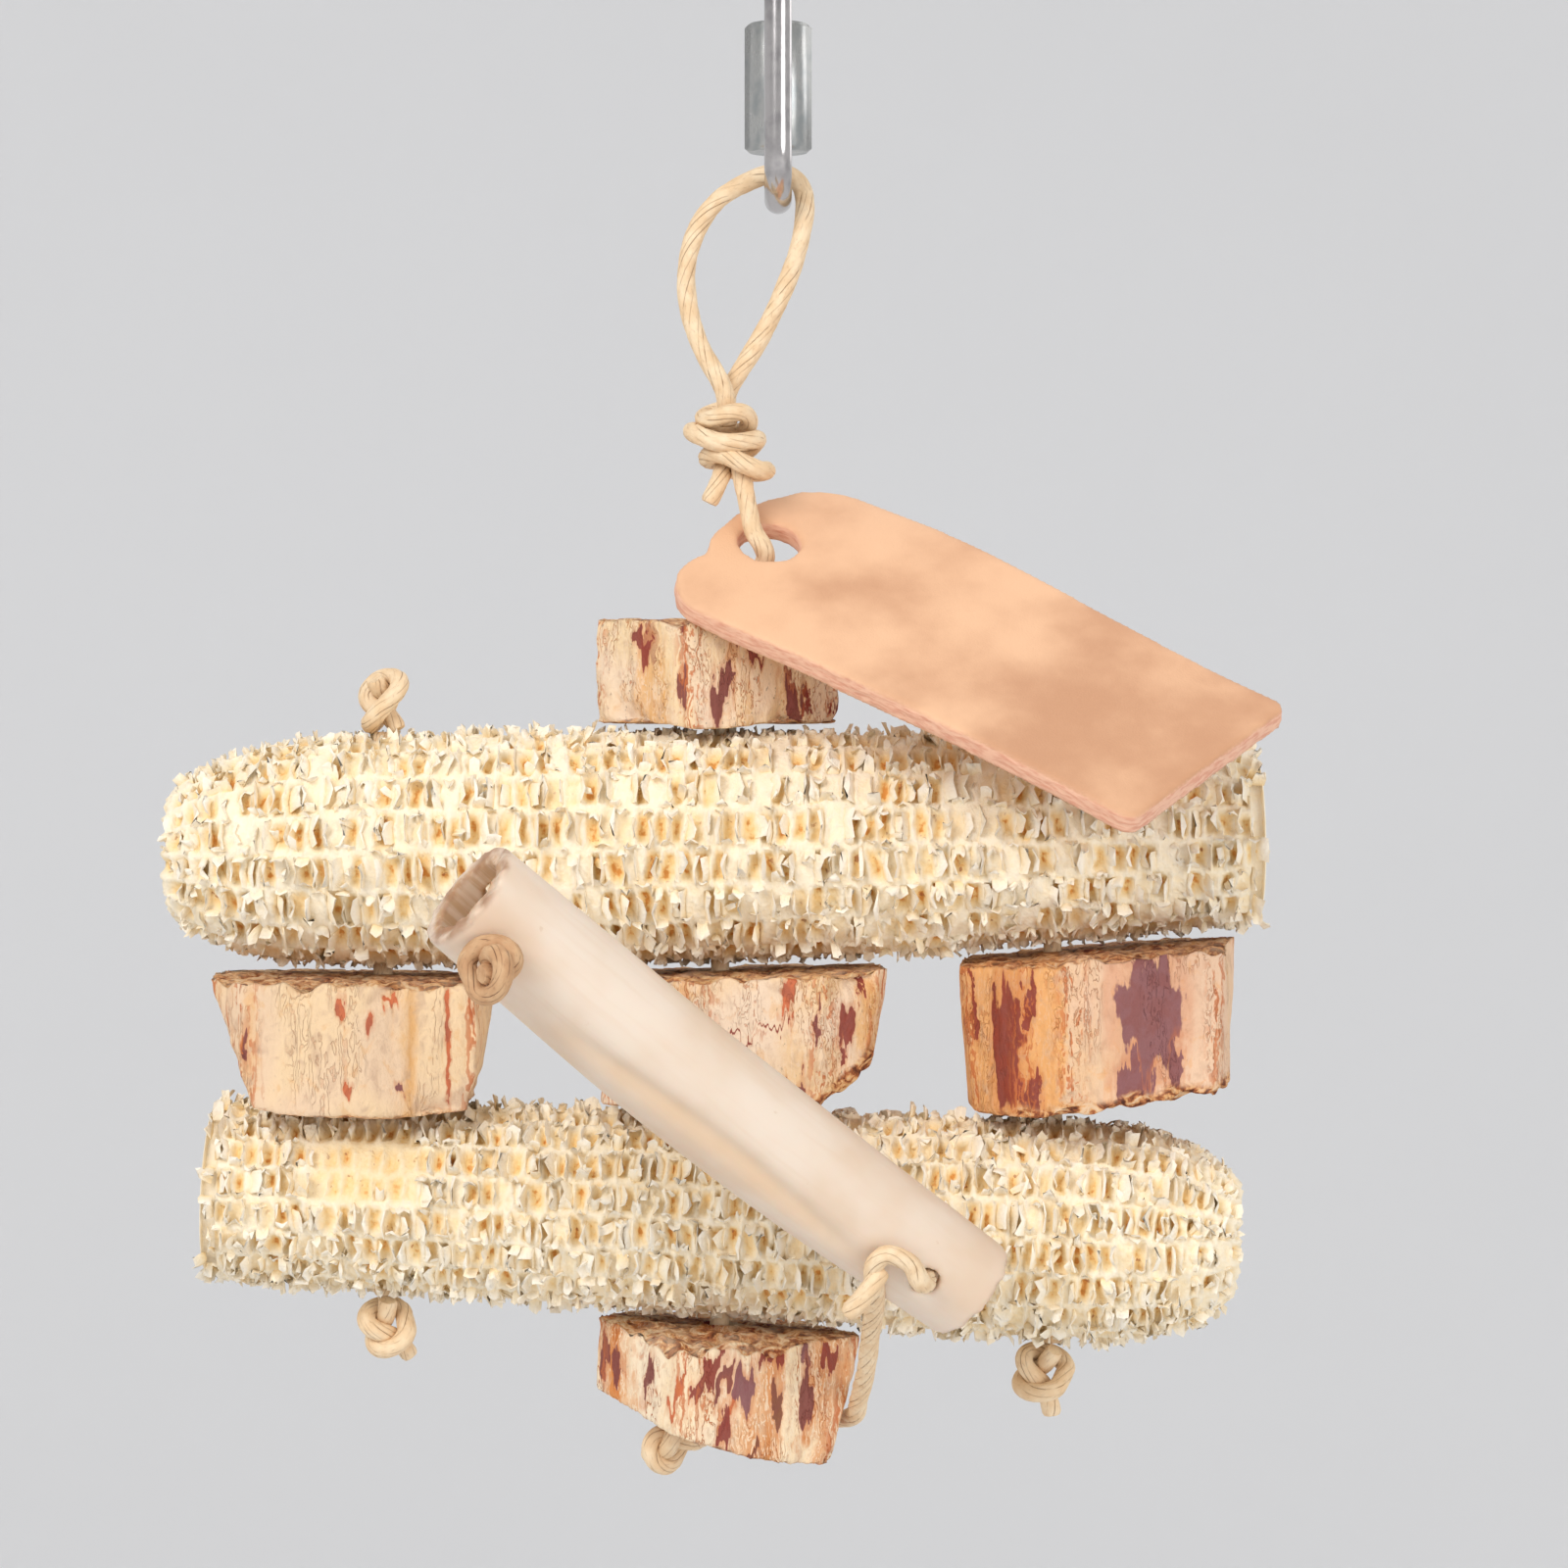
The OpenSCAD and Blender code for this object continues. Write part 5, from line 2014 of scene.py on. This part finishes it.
@dataclass
class QuickLink:
    """The bent steel wire and the nut that closes it."""

    steel: MetalFinish = MetalFinish("polished_steel", srgb(196, 192, 191), srgb(166, 163, 163), 0.15)
    zinc: MetalFinish = MetalFinish("zinc_plate", srgb(188, 188, 185), srgb(164, 168, 168), 0.28)
    crease: float = 32.0

    def build(self) -> None:
        """Makes the wire's and nut's objects."""
        for name, node, body, slot, finish in (
            ("link_wire", "quick_link", "link", "steel", self.steel),
            ("link_nut", "sleeve_nut", "nut", "zinc", self.zinc),
        ):
            stand_for(piece_of(name, solid_copy(node), finish.material(), self.crease), slot, body, node)


UPPER_COB = CornCob(
    "cob_upper",
    "upper_cob",
    height=-119.122,
    tilt=0.9,
    reach=70.3,
    length=139.0,
    radius=15.3,
    cut_radius=11.4,
    belly=55.0,
    dome=20.0,
    swell=1.3,
    power=2.0,
    flipped=False,
    pitch=2.15,
    seed=3,
    roughness=0.28,
    shut=0.86,
    seats=((-24, 9, 1), (-73, -36, -1), (-23, 15, -1), (22, 59, -1)),
)
LOWER_COB = CornCob(
    "cob_lower",
    "lower_cob",
    height=-165.919,
    tilt=2.7,
    reach=65.8,
    length=131.0,
    radius=14.4,
    cut_radius=11.7,
    belly=22.0,
    dome=18.0,
    swell=0.5,
    power=1.1,
    flipped=True,
    pitch=1.95,
    seed=8,
    roughness=0.32,
    shut=0.68,
    seats=((-68, -38, 1), (-23, 15, 1), (24, 58, 1), (-25, 12, -1)),
    bare=((-51.7, -12.0, -159.9), (6.6, 5.0, 3.6)),
)
TOP_BARK = BarkFinish(
    "top",
    1.7,
    (
        Patch(Tint.RED, (-17.3, -5, -93.6), (1.0, 9, 2.4)),
        Patch(Tint.MAROON, (-12.2, -9, -97.4), (0.55, 5, 3.2)),
        Patch(Tint.RED, (-12.0, -9, -91.6), (0.4, 5, 1.7)),
        Patch(Tint.MAROON, (-7.1, -8, -99.0), (1.2, 5, 3.2)),
        Patch(Tint.RED, (-5.6, -7, -94.3), (0.7, 5, 1.4)),
        Patch(Tint.RED, (-2.9, -7, -95.8), (0.9, 5, 1.4)),
        Patch(Tint.MAROON, (1.9, -5, -100.6), (1.3, 6, 2.6)),
    ),
    specks=0.55,
    lines=0.7,
)
LEFT_BARK = BarkFinish(
    "left",
    4.3,
    (
        Patch(Tint.ORANGE, (-54.3, -13, -138.9), (0.5, 6, 1.8)),
        Patch(Tint.ORANGE, (-50.7, -13, -141.6), (0.5, 6, 1.5)),
        Patch(Tint.ORANGE, (-48.2, -13, -138.6), (0.9, 6, 0.8)),
        Patch(Tint.ORANGE, (-53.7, -12, -149.6), (0.6, 6, 1.0)),
        Patch(Tint.PURPLE, (-47.2, -12, -149.9), (0.6, 6, 0.6)),
        Patch(Tint.MAROON, (-66.5, -10, -144.0), (0.5, 5, 3.0)),
        Patch(Tint.RED, (-38.6, -7, -139.8), (0.3, 5, 1.3)),
        Patch(Tint.ORANGE, (-41.2, -11, -144.0), (0.35, 6, 7.5)),
    ),
    cream=srgb(242, 210, 168),
    pale=srgb(236, 204, 170),
    warmth=0.42,
    specks=0.12,
    lines=0.25,
    level=0.7,
    jag=0.55,
)
MIDDLE_BARK = BarkFinish(
    "middle",
    7.9,
    (
        Patch(Tint.RED, (8.4, -10, -141.5), (0.9, 6, 2.6)),
        Patch(Tint.RED, (7.9, -10, -146.0), (0.4, 6, 2.2)),
        Patch(Tint.MAROON, (5.2, -12, -141.0), (0.5, 6, 2.6)),
        Patch(Tint.MAROON, (1.9, -12, -149.5), (1.2, 6, 1.6)),
        Patch(Tint.RED, (10.4, -8, -137.5), (0.4, 6, 1.4)),
        Patch(Tint.ORANGE, (1.3, -12, -137.5), (0.7, 6, 3.0)),
        Patch(Tint.RED, (-5.2, -12, -142.3), (2.6, 6, 0.35)),
        Patch(Tint.RED, (-0.6, -12, -140.9), (2.0, 6, 0.3)),
    ),
    cream=srgb(234, 196, 146),
    lines=0.6,
    specks=0.4,
)
RIGHT_BARK = BarkFinish(
    "right",
    11.2,
    (
        Patch(Tint.RED, (28.8, -11, -143.6), (1.9, 8, 8.0)),
        Patch(Tint.RED, (31.3, -12, -138.4), (0.7, 6, 4.2)),
        Patch(Tint.RED, (24.4, -7, -137.6), (0.3, 6, 4.6)),
        Patch(Tint.RED, (31.2, -12, -150.3), (1.5, 6, 2.6)),
        Patch(Tint.PURPLE, (46.2, -13, -139.4), (4.6, 8, 8.2)),
        Patch(Tint.PURPLE, (44.6, -13, -149.0), (2.8, 8, 2.4)),
        Patch(Tint.PURPLE, (49.8, -13, -147.5), (0.9, 8, 4.0)),
    ),
    cream=srgb(230, 194, 156),
    pale=srgb(233, 196, 164),
    warm=srgb(232, 164, 90),
    warmth=0.46,
    split=35.8,
    specks=0.1,
    lines=0.45,
    level=0.6,
)
BOTTOM_BARK = BarkFinish(
    "bottom",
    15.6,
    (
        Patch(Tint.MAROON, (-22.4, -3, -184.3), (0.6, 6, 2.6)),
        Patch(Tint.MAROON, (-20.6, -4, -184.8), (0.9, 6, 2.2)),
        Patch(Tint.MAROON, (-16.2, -8, -185.2), (0.5, 6, 3.6), 8),
        Patch(Tint.RED, (-9.0, -11, -185.8), (0.85, 6, 4.6), 24),
        Patch(Tint.ORANGE, (-12.4, -11, -186.0), (0.4, 6, 4.4), 18),
        Patch(Tint.MAROON, (-6.9, -11, -185.6), (0.6, 6, 3.8), 24),
        Patch(Tint.ORANGE, (-5.6, -11, -188.4), (0.45, 6, 4.2), 24),
        Patch(Tint.PURPLE, (-4.4, -10, -186.7), (1.6, 6, 2.4)),
        Patch(Tint.RED, (-6.6, -11, -191.6), (0.9, 6, 3.0), 6),
        Patch(Tint.RED, (-0.8, -9, -183.7), (1.6, 6, 1.4)),
        Patch(Tint.BROWN, (0.0, -9, -190.0), (0.6, 6, 2.8)),
        Patch(Tint.BROWN, (-3.4, -9, -195.2), (1.0, 6, 0.7)),
        Patch(Tint.PURPLE, (3.5, -6, -184.4), (0.6, 6, 1.9)),
        Patch(Tint.MAROON, (3.7, -6, -189.0), (0.8, 6, 3.4)),
        Patch(Tint.RED, (6.6, -4, -184.6), (0.9, 6, 2.2)),
    ),
    cream=srgb(246, 220, 182),
    pale=srgb(246, 226, 196),
    warm=srgb(214, 136, 70),
    warmth=0.54,
    lines=0.95,
    specks=0.25,
    level=0.62,
    jag=0.8,
)
BLOCKS = (
    BarkBlock(TOP_BARK, front_drop=1.2, under_lift=-1.3),
    BarkBlock(
        LEFT_BARK, front_drop=1.0, under_lift=-2.0, bore=((LEFT_X, 0, 0), (LEFT_X, 0, -1)), swing=20.0
    ),
    BarkBlock(MIDDLE_BARK, front_drop=0.8, under_lift=0.0, cut=((9.2, 0, -148), (0.655, 0, -0.756))),
    BarkBlock(
        RIGHT_BARK,
        front_drop=1.6,
        under_lift=0.0,
        bore=((RIGHT_X, 0, 0), (RIGHT_X, 0, -1)),
        cut=((44, 0, -151), (0.17, 0, -0.985)),
    ),
    BarkBlock(
        BOTTOM_BARK,
        front_drop=3.0,
        under_lift=-2.2,
        bore=((-9.2, 0, -185), (-12.1, 0, -192.5)),
        swing=0.0,
        back_trim=1.8,
    ),
)


def main() -> None:
    """Builds the pieces in order."""
    logging.basicConfig(level=logging.INFO)
    noise.seed_set(NOISE_SEED)
    Studio().build()
    papers = {kind: kind.material() for kind in (PAPER, BROWN_PAPER)}
    for run in CORDS:
        run.build(papers[PAPER])
    shape = OverhandKnot().tight()
    for knot in STOPPERS:
        knot.build(shape, papers[knot.paper])
    chaff = CobFinish().material()
    for cob in (UPPER_COB, LOWER_COB):
        cob.build(chaff)
    for block in BLOCKS:
        block.build()
    LeatherTag().build(LeatherFinish().material())
    ChewStick().build(DryStemFinish().material())
    QuickLink().build()


if __name__ == "__main__":
    main()
